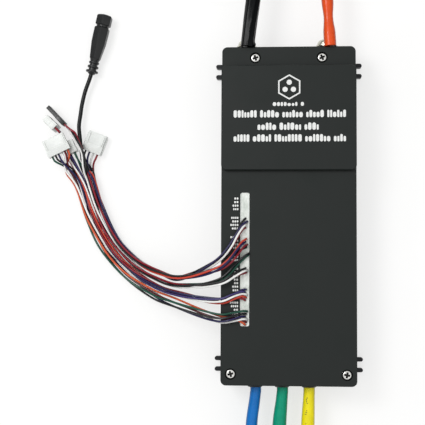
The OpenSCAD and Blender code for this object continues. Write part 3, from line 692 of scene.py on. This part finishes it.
def bundled_line(name, k, spine, out, end, way_in, seed):
    """Wire k along its loom's spine: it starts at `out`, twists with the others, and fans out
    to its end in the plug or, without one, runs into the round cable."""
    colours, turns, looseness, phase = LOOMS[name]
    count = len(colours)
    across, over = packed_place(k, count, looseness)
    lift = 0.3 + 0.6 * ((k * 7 + seed) % 3)
    length = len(spine) - 1
    line = []
    for i, (_, side, up) in enumerate(carried_frames(spine)):
        left = length - i
        turn = TAU * (phase + turns * i / length) + 0.9 * wobble((i / 37, k * 0.2, 0), seed).x
        place = spine[i] + side * (across * cos(turn) - over * sin(turn))
        place += up * (across * sin(turn) + over * cos(turn))
        place += wobble((i / 24, k * 3.7, 1.0), seed) * 0.5 * looseness
        fan = out + Vector((0, 0, 0.9 + lift * sin(min(i / FAN_IN, 1.0) * pi)))
        fan += (spine[i] - spine[0]) * 0.5
        place = fan.lerp(place, ease((i + 1) / FAN_IN))
        if end:
            target = end - way_in * (left * 0.9 + 1.4)
            place = target.lerp(place, ease(left / FAN_OUT))
        else:
            place = place.lerp(spine[i], 0.6 * ease((MOUTH_BACK + 4 - left) / 4))
        if name in OVER_CABLE:
            middle_left, reach, detour = OVER_CABLE[name]
            place += detour * exp(-((left - middle_left) / reach) ** 2)
        line.append(place)
    return line


def support_z(place):
    """Height of what the wires lie on: the cover, or the bench beside it."""
    return DECK_Z if abs(place.x) < CASE_HALF_W + 0.2 else 0.0


def tree_of(points):
    tree = KDTree(len(points))
    for n, place in enumerate(points):
        tree.insert(place, n)
    tree.balance()
    return tree


def settle(lines, cable, rounds=36):
    """Pushes crossing wires apart, and off the round cable, until they only touch. The first and
    last few points of each wire stay where they are."""
    air = 0.02
    reach = 2 * WIRE_R + air
    cable_reach = WIRE_R + CABLE_R + air
    wire_push = 0.35
    cable_push = 0.6
    evenness = 0.35
    held = 4
    cable_tree = tree_of(cable)
    rest = [[p.copy() for p in line] for line in lines]
    for _ in range(rounds):
        flat = [(w, i) for w, line in enumerate(lines) for i in range(len(line))]
        tree = tree_of([lines[w][i] for w, i in flat])
        push = [[Vector() for _ in line] for line in lines]
        for w, line in enumerate(lines):
            for i, place in enumerate(line):
                for other, n, distance in tree.find_range(place, reach):
                    if flat[n][0] != w and distance > 1e-6:
                        push[w][i] += (place - other) * (wire_push * (reach - distance) / distance)
                other, n, distance = cable_tree.find(place)
                if 1e-6 < distance < cable_reach:
                    push[w][i] += (place - other) * (cable_push * (cable_reach - distance) / distance)
        for w, line in enumerate(lines):
            shift = [line[i] + push[w][i] - rest[w][i] for i in range(len(line))]
            for i in range(held, len(line) - held):
                even = (shift[i - 1] + shift[i + 1]) / 2
                line[i] = rest[w][i] + shift[i].lerp(even, evenness)
                line[i].z = max(line[i].z, support_z(line[i]) + WIRE_R)


def add_wires():
    """All signal wires, as separate pieces that run from the case into the harness."""
    groups = []
    first_pin = 0
    for seed, name in enumerate(LOOMS):
        groups.append((name, wire_lines(name, first_pin, seed)))
        first_pin += len(LOOMS[name][0])
    # The display wires run into the cable, so they come in last, and its first millimetres stay out
    cable = display_line()
    settle([line for name, lines in groups if name != "display" for line in lines], cable[8:])
    settle([line for _, lines in groups for line in lines], cable[12:], rounds=12)
    for name, lines in groups:
        for k, line in enumerate(lines):
            part = tube(line, lambda along, angle: WIRE_R, 10)
            wire = add_mesh(f"{name}_wire_{k + 1}", *part, WIRE_MATERIALS[LOOMS[name][0][k]])
            hand_over_bending(wire, ("case", "signal_harness"), LIFT_START, LIFT_END, "wire_insulation",
                              name + "_loom", "signal_wire_ends")


# ---- small plugs


def housing(name, wires, slot, latched):
    """A crimp housing: a stepped shell with wire holes, crimp windows, pin sockets and guide ribs."""
    width, length, thick = PLUGS[name][2]
    matrix = plug_matrix(name)
    collar = length * 0.42
    step = 0.25 if thick > 3 else 0.1
    rear = block((-width / 2, 0, 0), (width / 2, collar, thick))
    nose = block((-width / 2 + step, collar - 0.2, step), (width / 2 - step, length, thick - step))
    body = add_mesh(name + "_housing", *rear, MATERIALS[slot])
    carve(body, [nose], "UNION")
    extras = []
    if thick > 3:
        for x in (-width / 2 + 1.0, width / 2 - 1.6):
            extras.append(block((x, collar - 0.5, thick - step - 0.1), (x + 0.6, length - 0.8, thick + 0.1)))
    if latched:
        for side in (-1, 1):
            x = side * (width / 2 + 0.1)
            extras.append(block((x - 0.4, 0.6, thick * 0.25), (x + 0.4, length - 1.2, thick * 0.75)))
    if extras:
        carve(body, extras, "UNION")
    pitch = wire_pitch(width, wires)
    floor = 0.75 if thick > 3 else 0.5
    mid = thick / 2
    holes = []
    terminals = []
    for k in range(wires):
        x = (k - (wires - 1) / 2) * pitch
        hole = Matrix.Translation((x, 0, mid))
        holes.append(lathe([(-0.5, WIRE_R + 0.1), (2.2, WIRE_R + 0.1)], hole, 16))
        holes.append(block((x - 0.55, length * 0.5, -0.05), (x + 0.55, length * 0.72, floor)))
        holes.append(block((x - 0.5, length - 2.4, mid - 0.5), (x + 0.5, length + 0.5, mid + 0.5)))
        low = (x - 0.45, length * 0.52, floor - 0.15)
        terminals.append(block(low, (x + 0.45, length * 0.68, floor + 0.2)))
    carve(body, holes)
    finish_piece(body, matrix, 0.14)
    hand_over(body, "signal_harness", slot, name + "_plug")
    metal = add_mesh(name + "_terminals", *joined(terminals), MATERIALS["tinned_wire"])
    finish_piece(metal, matrix, 0.05)
    hand_over(metal, "signal_harness", "tinned_wire")


def finish_piece(made, matrix, edge):
    """Moves a piece built in local millimetres to its place, and rounds its edges."""
    shift = matrix.copy()
    shift.translation = matrix.translation * MM
    made.data.transform(shift)
    bevel(made, edge)
    bake(made)
    smooth_mesh(made.data, 30)


def add_plugs():
    for name in PLUGS:
        wires = len(LOOMS[name][0])
        slot = "plug_black" if name == "throttle" else "nylon_white"
        housing(name, wires, slot, latched=name == "comm")


# ---- display cable and round plug

SWING_PLACE = joint_place("display_cable_swing")


def faceted_ring(y, radius, facet, sides=72):
    """A ring about local Y between a circle (facet 0) and a hexagon with a ridge on top (facet 1)."""
    def reach(angle):
        off = (angle + pi / 6) % (pi / 3) - pi / 6
        flat = cos(pi / 6) / cos(pi / 6 - abs(off))
        return radius * (1 - facet + facet * min(flat, 0.99))
    return ring_about_y(y, sides, reach)


def display_line():
    """The display cable's centre line, from where its wires go in to the plug."""
    root = cable_line("display_cable_root")
    line = cable_line("display_cable")
    return smooth_path([cable_mouth()] + root[:-1] + line[1:], 1.0)


def add_display_lead():
    """The black round cable with its moulded plug."""
    line = cable_line("display_cable")
    way = (line[-1] - line[-3]).normalized()
    reach = max(p.dot(way) for p in node_points("display_plug_shell"))
    tip = line[-1] + way * (reach - line[-1].dot(way))
    matrix = Matrix.Translation(tip) @ Matrix.Rotation(atan2(way.y, way.x) - pi / 2, 4, "Z")

    sections = [
        (-5.9, 2.75, 0.0), (-5.9, 2.95, 0.0), (-0.4, 2.95, 0.0), (0.0, 3.15, 0.0), (0.0, 3.6, 0.6),
        (-0.3, 4.45, 1.0), (-0.8, 4.88, 1.0), (-1.1, 4.95, 1.0), (-5.7, 4.95, 1.0), (-6.1, 4.8, 1.0),
        (-6.25, 4.0, 0.6), (-6.45, 3.75, 0.2), (-7.3, 3.75, 0.2), (-7.5, 4.1, 0.8), (-7.9, 4.75, 1.0),
        (-8.6, 4.85, 1.0), (-13.0, 4.8, 1.0), (-17.0, 4.72, 1.0), (-19.0, 4.45, 1.0), (-22.0, 4.05, 1.0),
        (-25.0, 3.65, 0.95), (-26.6, 3.45, 0.9), (-27.0, 3.1, 0.7), (-27.0, 2.2, 0.0),
    ]
    rings = [faceted_ring(*s) for s in reversed(sections)]
    shell = placed(skin(rings), matrix)
    add_piece("display_plug_body", shell, "display_lead", "plug_black", "display_plug_shell", sharp=28)

    boot_profile = [(-26.9, 2.1), (-26.9, 2.9), (-27.6, 2.75), (-28.1, 2.45)]
    for y, r in ((-28.9, 3.05), (-31.5, 3.3), (-34.3, 3.65)):
        boot_profile += [(y + 0.5, 2.4), (y + 0.35, r - 0.15), (y, r), (y - 0.45, r), (y - 0.8, r - 0.2)]
        boot_profile += [(y - 1.0, 2.3)]
    boot_profile += [(-35.9, 2.0), (-36.2, 1.5), (-36.2, 1.1)]
    boot = lathe(boot_profile[::-1], matrix, 48)
    add_piece("display_plug_strain_relief", boot, "display_lead", "plug_black", "display_plug_boot")

    path = display_line()

    def girth(along, angle):
        collar = 0.3 * exp(-((along - 1.5) / 2.5) ** 2)
        return CABLE_R + collar + 0.03 * noise.noise(Vector((along / 3, 0, 0)))

    cable = add_mesh("display_cable_jacket", *tube(path, girth, 16), MATERIALS["cable_black"])
    reach = Vector((0.5, 6.5, 0))
    hand_over_bending(cable, ("signal_harness", "display_lead"), SWING_PLACE - reach, SWING_PLACE + reach,
                      "cable_black", "display_cable_root", "display_cable")


# ---- power leads

CORE_R = 2.1
STRIPPED = 8.0
JACKET_RUN = 38.0
# A distance along a lead that lies beyond every change in its thickness
FAR_ALONG = 200.0
# Strands of a bare end: how many in each ring, and the ring's radius
STRAND_ROWS = ((1, 0.0), (6, 0.86), (12, 1.68))
STRAND_R = 0.45


def lead_points(joint_name, back, sway):
    """A lead's centre line from `back` mm inside its flexing point, with a gentle sideways sway."""
    pivot = joint_place(joint_name)
    axis = Vector(joint_named(joint_name)["axis"])
    way = Vector((-axis.y, axis.x, 0)).normalized()
    side = Vector((way.y, -way.x, 0))
    knots = [pivot - way * back]
    for step in range(2 - int(back), int(JACKET_RUN) + 1, 2):
        share = max(step, 0) / JACKET_RUN
        knots.append(pivot + way * step + side * sway * sin(TAU * share) * share)
    knots.append(pivot + way * JACKET_RUN)
    return pivot, way, knots


def add_lead(name, slot, back, entry, radius, sway, nodes, bend=5.0):
    """One lead's insulation and its tinned, stranded end. entry is where it comes from, or None.
    Returns the insulation's centre line and the places a bend's length before and after its flexing point."""
    pivot, way, knots = lead_points(name + "_flex", back, sway)
    if entry is not None:
        knots = [entry] + knots
    path = smooth_path(knots, 1.0)
    edge_r = radius(FAR_ALONG, 0.0)
    hollow_end = [(0.18, edge_r - 0.08), (0.3, edge_r - 0.3), (0.3, CORE_R + 0.12), (-1.4, CORE_R + 0.1)]
    jacket = add_mesh(name + "_lead_jacket", *tube(path, radius, 56, last_rings=hollow_end), MATERIALS[slot])
    bend_start = pivot - way * bend
    bend_end = pivot + way * bend
    hand_over_bending(jacket, ("case", name + "_cable"), bend_start, bend_end, slot, name + "_lead", *nodes)
    end = path[-1]
    strands = []
    for count, distance in STRAND_ROWS:
        for k in range(count):
            strands.append(strand(end, way, distance, TAU * k / count))
    add_piece(name + "_lead_strands", joined(strands), name + "_cable", "tinned_wire", name + "_core")
    return path, bend_start, bend_end


def strand(end, way, distance, angle):
    """One twisted strand of a core, with a soft solder tip."""
    side = Vector((way.y, -way.x, 0))
    up = Vector((0, 0, 1))
    path = []
    for step in range(-2, int(STRIPPED) * 2 + 1):
        along = step / 2
        turn = angle + 0.09 * along
        path.append(end + way * along + (side * cos(turn) + up * sin(turn)) * distance)
    tip = [(0.15, STRAND_R * 0.8), (0.25, STRAND_R * 0.35)]
    return tube(path, lambda along, angle: STRAND_R, 8, last_rings=tip)


def positive_radius(along, angle):
    """Heat-shrink over the lug's barrel, a waist after it, then the full lead."""
    waist = 3.45 - 0.75 * ease((along - 7.0) / 9.0) + 0.7 * ease((along - 17.0) / 9.0)
    crimp = exp(-((along - 6.0) / 4.0) ** 2) * max(0.0, cos(angle - 0.5)) ** 3
    return waist + 0.22 * crimp * sin(along * 2.6) + 0.05 * noise.noise(Vector((along / 3, angle, 1)))


def negative_radius(along, angle):
    """A thick lead in a tight ribbed sleeve that twists slowly."""
    turn = angle - along * 0.012
    ribs = 0.0
    for place, height, width in ((0.05, 0.3, 0.14), (0.75, 0.34, 0.16), (-0.75, 0.25, 0.2), (1.6, 0.2, 0.3)):
        off = (turn - place + pi) % TAU - pi
        ribs += height * exp(-(off / width) ** 2)
    grow = 0.4 * ease(along / 34.0)
    grow += 0.9 * exp(-((along - 1.6) / 1.1) ** 2) * max(0.0, sin(angle)) ** 2
    return 3.85 + grow + ribs + 0.05 * noise.noise(Vector((along / 4, 3 * cos(angle), 2)))


def phase_radius(first, last):
    def radius(along, angle):
        return first + (last - first) * ease((along - 8.0) / 20.0) + 0.04 * noise.noise(
            Vector((along / 5, 2 * cos(angle), first)))
    return radius


def add_power_leads():
    add_lead("positive", "silicone_red", 14.3, None, positive_radius, 0.5, ["positive_sleeve"], bend=8.0)
    add_lead("negative", "silicone_black", 15.0, None, negative_radius, 0.6, ["negative_sleeve"], bend=9.0)
    phases = {"blue": (3.1, 3.3, 1.2), "green": (3.22, 3.9, 0.8), "yellow": (3.22, 3.75, 0.3)}
    for name, (first, last, sway) in phases.items():
        pivot = joint_place(name + "_flex")
        inside = Vector((pivot.x, pivot.y + 12, pivot.z))
        girth = phase_radius(first, last)
        line = add_lead(name, "silicone_" + name, 4, inside, girth, sway, ["phase_lead_stubs"])
        if name == "yellow":
            add_lead_marks(name, girth, *line)


def add_lead_marks(name, girth, path, bend_start, bend_end):
    """Faint dashes printed along the top of a lead."""
    rng = random.Random(5)
    frames = carried_frames(path)
    marks = []
    i = 12
    while i < len(path) - 4:
        for k in range(rng.randint(2, 4)):
            low = 0.25 + rng.uniform(-0.1, 0.1)
            length = 0.35 + rng.uniform(0, 0.3)
            marks.append(patch(path, frames, girth, i + k, length, low, low + rng.uniform(0.1, 0.3)))
        i += rng.randint(6, 9)
    print_row = add_mesh(name + "_lead_marks", *joined(marks), MATERIALS["lead_ink"])
    hand_over_bending(print_row, ("case", name + "_cable"), bend_start, bend_end, "wire_insulation")


def patch(path, frames, girth, i, length, first, last):
    """A thin raised bar on a tube: `length` along it from point i, between two angles."""
    tangent, side, up = frames[i]
    outline = []
    for share, angle in ((0, first), (0, last), (1, last), (1, first)):
        outward = side * sin(angle) + up * cos(angle)
        outline.append((path[i] + tangent * share * length, outward))
    rings = [[p + out * (girth(i, 0.0) + h) for p, out in outline] for h in (-0.1, 0.06)]
    return skin(rings)


def add_terminal_bolts():
    """Domed bolt heads and washers under the battery leads. The positive one sits a little inboard."""
    low, high = box_of("terminal_bolts")
    washer_low, washer_high = box_of("terminal_washers")
    centre_z = (low.z + high.z) / 2
    washer_r = (washer_high.z - washer_low.z) / 2
    head_r = (high.z - low.z) / 2
    middle = (high.x - low.x) / 2 - head_r
    face = washer_high.y
    for name, x in (("positive", middle - 2.1), ("negative", -middle - 0.7)):
        place = Matrix.Translation((x, 0, centre_z))
        head = [(face - 1.5, 2.4), (face, 2.4), (face, head_r - 0.1), (face + 0.2, head_r)]
        head += dome(face + 0.2, head_r, 3.0, 2.2, 10)
        head += [(face + 3.25, 2.2), (face + 1.6, 2.0), (face + 1.4, 0.8)]
        bolt = lathe(head, place, 48)
        add_piece(name + "_bolt_head", bolt, "case", "plated_steel", "terminal_bolts")
        ring = [(washer_low.y, 2.5), (washer_low.y, washer_r - 0.1), (washer_low.y + 0.1, washer_r),
                (face - 0.15, washer_r), (face - 0.02, washer_r - 0.12), (face - 0.02, 2.5)]
        washer = lathe(ring, place, 48)
        add_piece(name + "_washer_ring", washer, "case", "plated_steel", "terminal_washers")


def add_grommets():
    """Rubber grommets that flare out where the phase leads pass the end wall."""
    profile = [(-3.9, 3.1), (-3.9, 4.0), (0.0, 4.0), (0.0, 6.2), (0.1, 6.0), (0.25, 5.4), (0.5, 4.8),
               (0.8, 4.35), (1.1, 4.05), (1.3, 3.85), (1.4, 3.6), (1.4, 3.1)]
    parts = []
    for name in ("blue", "green", "yellow"):
        pivot = joint_place(name + "_flex")
        face = Matrix.Translation((pivot.x, -WALL_Y, pivot.z)) @ Matrix.Rotation(pi, 4, "Z")
        parts.append(lathe(profile, face, 56))
    add_piece("phase_grommet_flares", joined(parts), "case", "grommet_rubber", "phase_grommets")


# ---- cover detail


def add_sealant():
    """Sealant in the slot: a lumpy top that creeps up the walls and around each wire."""
    columns = 24
    rows = 300
    corner = 1.0
    half_w = (SEAL_HIGH.x - SEAL_LOW.x) / 2
    mid_x = (SEAL_HIGH.x + SEAL_LOW.x) / 2
    top = []
    for j in range(rows + 1):
        y = SEAL_LOW.y + (SEAL_HIGH.y - SEAL_LOW.y) * j / rows
        from_end = min(y - SEAL_LOW.y, SEAL_HIGH.y - y)
        cut = corner - sqrt(max(corner ** 2 - max(corner - from_end, 0) ** 2, 0))
        for i in range(columns + 1):
            share = 2 * i / columns - 1
            x = mid_x + share * (half_w - cut)
            edge = min((1 - abs(share)) * half_w, from_end)
            z = SEAL_HIGH.z - 0.25 + 0.3 * exp(-(edge / 0.5) ** 2)
            z += 0.16 * noise.noise(Vector((x / 1.3, y / 2.2, 0)))
            z += 0.1 * noise.noise(Vector((x, y, 5)) * 1.4)
            for pin_y in WIRED_PIN_Y:
                if abs(pin_y - y) < 2:
                    away = (x - PIN_X) ** 2 + (y - pin_y) ** 2
                    z += 0.45 * exp(-away / 0.8)
            top.append(Vector((x, y, z)))
    wide = columns + 1
    faces = [
        (j * wide + i, j * wide + i + 1, (j + 1) * wide + i + 1, (j + 1) * wide + i)
        for j in range(rows) for i in range(columns)
    ]
    rim = list(range(columns)) + [j * wide + columns for j in range(rows)]
    rim += [rows * wide + i for i in range(columns, 0, -1)] + [j * wide for j in range(rows, 0, -1)]
    under = [Vector((top[a].x, top[a].y, SEAL_LOW.z)) for a in rim]
    start = len(top)
    for n, a in enumerate(rim):
        m = (n + 1) % len(rim)
        faces.append((rim[m], a, start + n, start + m))
    faces.append(tuple(start + n for n in reversed(range(len(rim)))))
    fill = (top + under, faces)
    add_piece("slot_sealant_fill", fill, "case", "sealant_white", "slot_sealant", sharp=70)


def add_screws():
    """Pan-head screws with a tapered cross recess."""
    points = node_points("cover_screws")
    corners = ((-1, 1, 17), (1, 1, 24), (-1, -1, 15), (1, -1, 80))
    for n, (sx, sy, recess_turn) in enumerate(corners):
        own = [p for p in points if p.x * sx > 0 and p.y * sy > 0]
        low = Vector(min(p[i] for p in own) for i in range(3))
        high = Vector(max(p[i] for p in own) for i in range(3))
        centre = (low + high) / 2
        head_r = (high.x - low.x) / 2
        up = Matrix.Translation((centre.x, centre.y, high.z)) @ Matrix.Rotation(pi / 2, 4, "X")
        profile = [(low.z - high.z, 0.9), (low.z - high.z + 0.6, 1.45), (-1.75, 1.45), (-1.7, head_r - 0.15),
                   (-1.55, head_r), (-0.95, head_r)]
        profile += dome(-0.95, head_r, 0.95, 1.0, 9) + [(0.0, 1.2)]
        body = add_mesh(f"cover_screw_{n + 1}", *lathe(profile, up, 48), MATERIALS["screw_steel"])
        for quarter in (0, 90):
            turn = Matrix.Rotation(radians(recess_turn + quarter), 4, "Z")
            place = Matrix.Translation((centre.x, centre.y, high.z)) @ turn
            blade = placed(wedge(1.8, 0.9, 0.62, 0.42, 1.25), place)
            # The recess walls take the near-black material, a painted shade in the cross.
            carve(body, [blade], material=MATERIALS["recess_painted_shade"])
        smooth_mesh(body.data, 35)
        hand_over(body, "case", "screw_steel", "cover_screws")


def wedge(reach, low_reach, half_w, low_half_w, depth):
    """A blade that narrows downwards, for one slot of a cross recess."""
    top = [(-reach, -half_w), (reach, -half_w), (reach, half_w), (-reach, half_w)]
    low = [(x * low_reach / reach, y * low_half_w / half_w) for x, y in top]
    rings = [[Vector((x, y, -depth)) for x, y in low], [Vector((x, y, 0.2)) for x, y in top]]
    return skin(rings)


def pill(x0, x1, y0, y1, z, thick=0.05):
    """A thin raised bar with rounded ends, for one printed mark."""
    r = min(x1 - x0, y1 - y0) / 2
    outline = []
    for cx, cy, first in ((x1 - r, y1 - r, 0), (x0 + r, y1 - r, 1), (x0 + r, y0 + r, 2), (x1 - r, y0 + r, 3)):
        for k in range(4):
            angle = TAU / 4 * (first + k / 3)
            outline.append((cx + r * cos(angle), cy + r * sin(angle)))
    rings = [[Vector((x, y, z + h)) for x, y in outline] for h in (-0.02, thick)]
    return skin(rings)


def bar_row(rng, x0, x1, y, height, z):
    """A row of short plain bars in groups, which stands in for a line of print."""
    bars = []
    x = x0
    left = rng.randint(4, 7)
    while x < x1 - 0.8:
        width = min(rng.uniform(1.1, 2.2), x1 - x)
        low = y - height / 2
        high = y + height * rng.choice((0.24, 0.5, 0.5))
        bars.append(pill(x, x + width, low, high, z))
        left -= 1
        x += width + 0.42
        if left == 0:
            x += 1.5
            left = rng.randint(4, 8)
    return bars


# Rows of plain bars on the raised block: first X, last X, Y and height
PRINT_ROWS = (
    (-9.0, 9.6, 61.8, 2.3),
    (-31.0, 32.0, 56.3, 4.2),
    (-17.5, 17.0, 49.2, 4.2),
    (-31.0, 32.0, 42.6, 4.2),
)


def hexagon_ring(centre, outer, inner, z, thick=0.05):
    spokes = [Vector((sin(TAU * k / 6), cos(TAU * k / 6), 0)) for k in range(6)]
    rings = []
    for radius, h in ((inner, -0.02), (outer, -0.02), (outer, thick), (inner, thick), (inner, -0.02)):
        middle = Vector((centre[0], centre[1], z + h))
        rings.append([middle + radius * spoke for spoke in spokes])
    return skin(rings, closed_ends=False)


def add_print():
    """Plain printed marks: a hexagon with three dots, rows of bars, and a bar beside each pin."""
    rng = random.Random(11)
    mark = (0.3, 71.5)
    dot_r = 1.5
    dots_out = 2.7
    parts = [hexagon_ring(mark, 7.2, 6.3, BLOCK_Z)]
    for k in range(3):
        angle = TAU * k / 3
        x = mark[0] + dots_out * sin(angle)
        y = mark[1] + dots_out * cos(angle)
        parts.append(pill(x - dot_r, x + dot_r, y - dot_r, y + dot_r, BLOCK_Z))
    for row in PRINT_ROWS:
        parts += bar_row(rng, *row, BLOCK_Z)
    labels = []
    edge = SEAL_LOW.x - 1.1
    for y in ALL_PIN_Y:
        length = rng.uniform(2.4, 5.0)
        bars = max(2, round(length / 1.2))
        for k in range(bars):
            right = edge - k * length / bars
            labels.append(pill(right - length / bars + 0.3, right, y - 0.62, y + 0.62, DECK_Z))
    for name, marks in (("panel_print", parts), ("pin_print", labels)):
        hand_over(add_mesh(name, *joined(marks), INK), "case", "sealant_white")


# ---- stage, light and camera


def add_floor():
    f = Finish("floor")
    glow = f.mix(f.noise(60.0), tone(247, 247, 246), tone(250, 250, 250))
    f.set(Base_Color=f.mix(0.65, glow, (0, 0, 0, 1)), Roughness=0.9, Specular_IOR_Level=0.1,
          Emission_Color=glow, Emission_Strength=0.69)
    half = 1500.0
    z = -0.05
    corners = [(-half, -half, z), (half, -half, z), (half, half, z), (-half, half, z)]
    floor = add_mesh("floor", corners, [(0, 1, 2, 3)], f.material)


def add_light(name, place, size, power):
    """A square soft light that faces the middle of the case."""
    lamp = bpy.data.lights.new(name, "AREA")
    lamp.size = size * MM
    lamp.energy = power
    made = new_object(name, lamp)
    made.location = Vector(place) * MM
    made.rotation_euler = (Vector((-40, 0, 10)) * MM - made.location).to_track_quat("-Z", "Y").to_euler()


def add_world(above, beside):
    """A white studio: bright overhead, dimmer towards the sides."""
    world = bpy.data.worlds.new("studio")
    world.use_nodes = True
    tree = world.node_tree
    way = tree.nodes.new("ShaderNodeTexCoord")
    split = tree.nodes.new("ShaderNodeSeparateXYZ")
    fade = tree.nodes.new("ShaderNodeMapRange")
    for key, value in (("From Min", 0.15), ("From Max", 0.95), ("To Min", beside), ("To Max", above)):
        fade.inputs[key].default_value = value
    tree.links.new(way.outputs["Generated"], split.inputs["Vector"])
    tree.links.new(split.outputs["Z"], fade.inputs["Value"])
    tree.links.new(fade.outputs["Result"], tree.nodes["Background"].inputs["Strength"])
    tree.nodes["Background"].inputs["Color"].default_value = (1, 1, 1, 1)
    bpy.context.scene.world = world


def add_camera():
    """Looks straight down from a little over half a metre, tilted by a few degrees."""
    lens = bpy.data.cameras.new("camera")
    lens.sensor_width = 36
    lens.lens = 90.47
    lens.clip_start = 0.01
    lens.clip_end = 20
    made = new_object("camera", lens)
    made.location = Vector((-1.947, -41.118, 625.0)) * MM
    made.rotation_euler = [radians(a) for a in (4.004, 3.880, 0.311)]
    bpy.context.scene.camera = made


# ---- everything together

dress_cad_nodes()
add_wires()
add_plugs()
add_display_lead()
add_power_leads()
add_terminal_bolts()
add_grommets()
add_sealant()
add_screws()
add_print()
add_floor()
add_world(1.12, 0.24)
add_light("key", (-420, 240, 700), 300, 2.5)
add_light("fill", (480, -300, 560), 600, 0.2)
add_camera()
bpy.context.scene.view_settings.view_transform = "Standard"
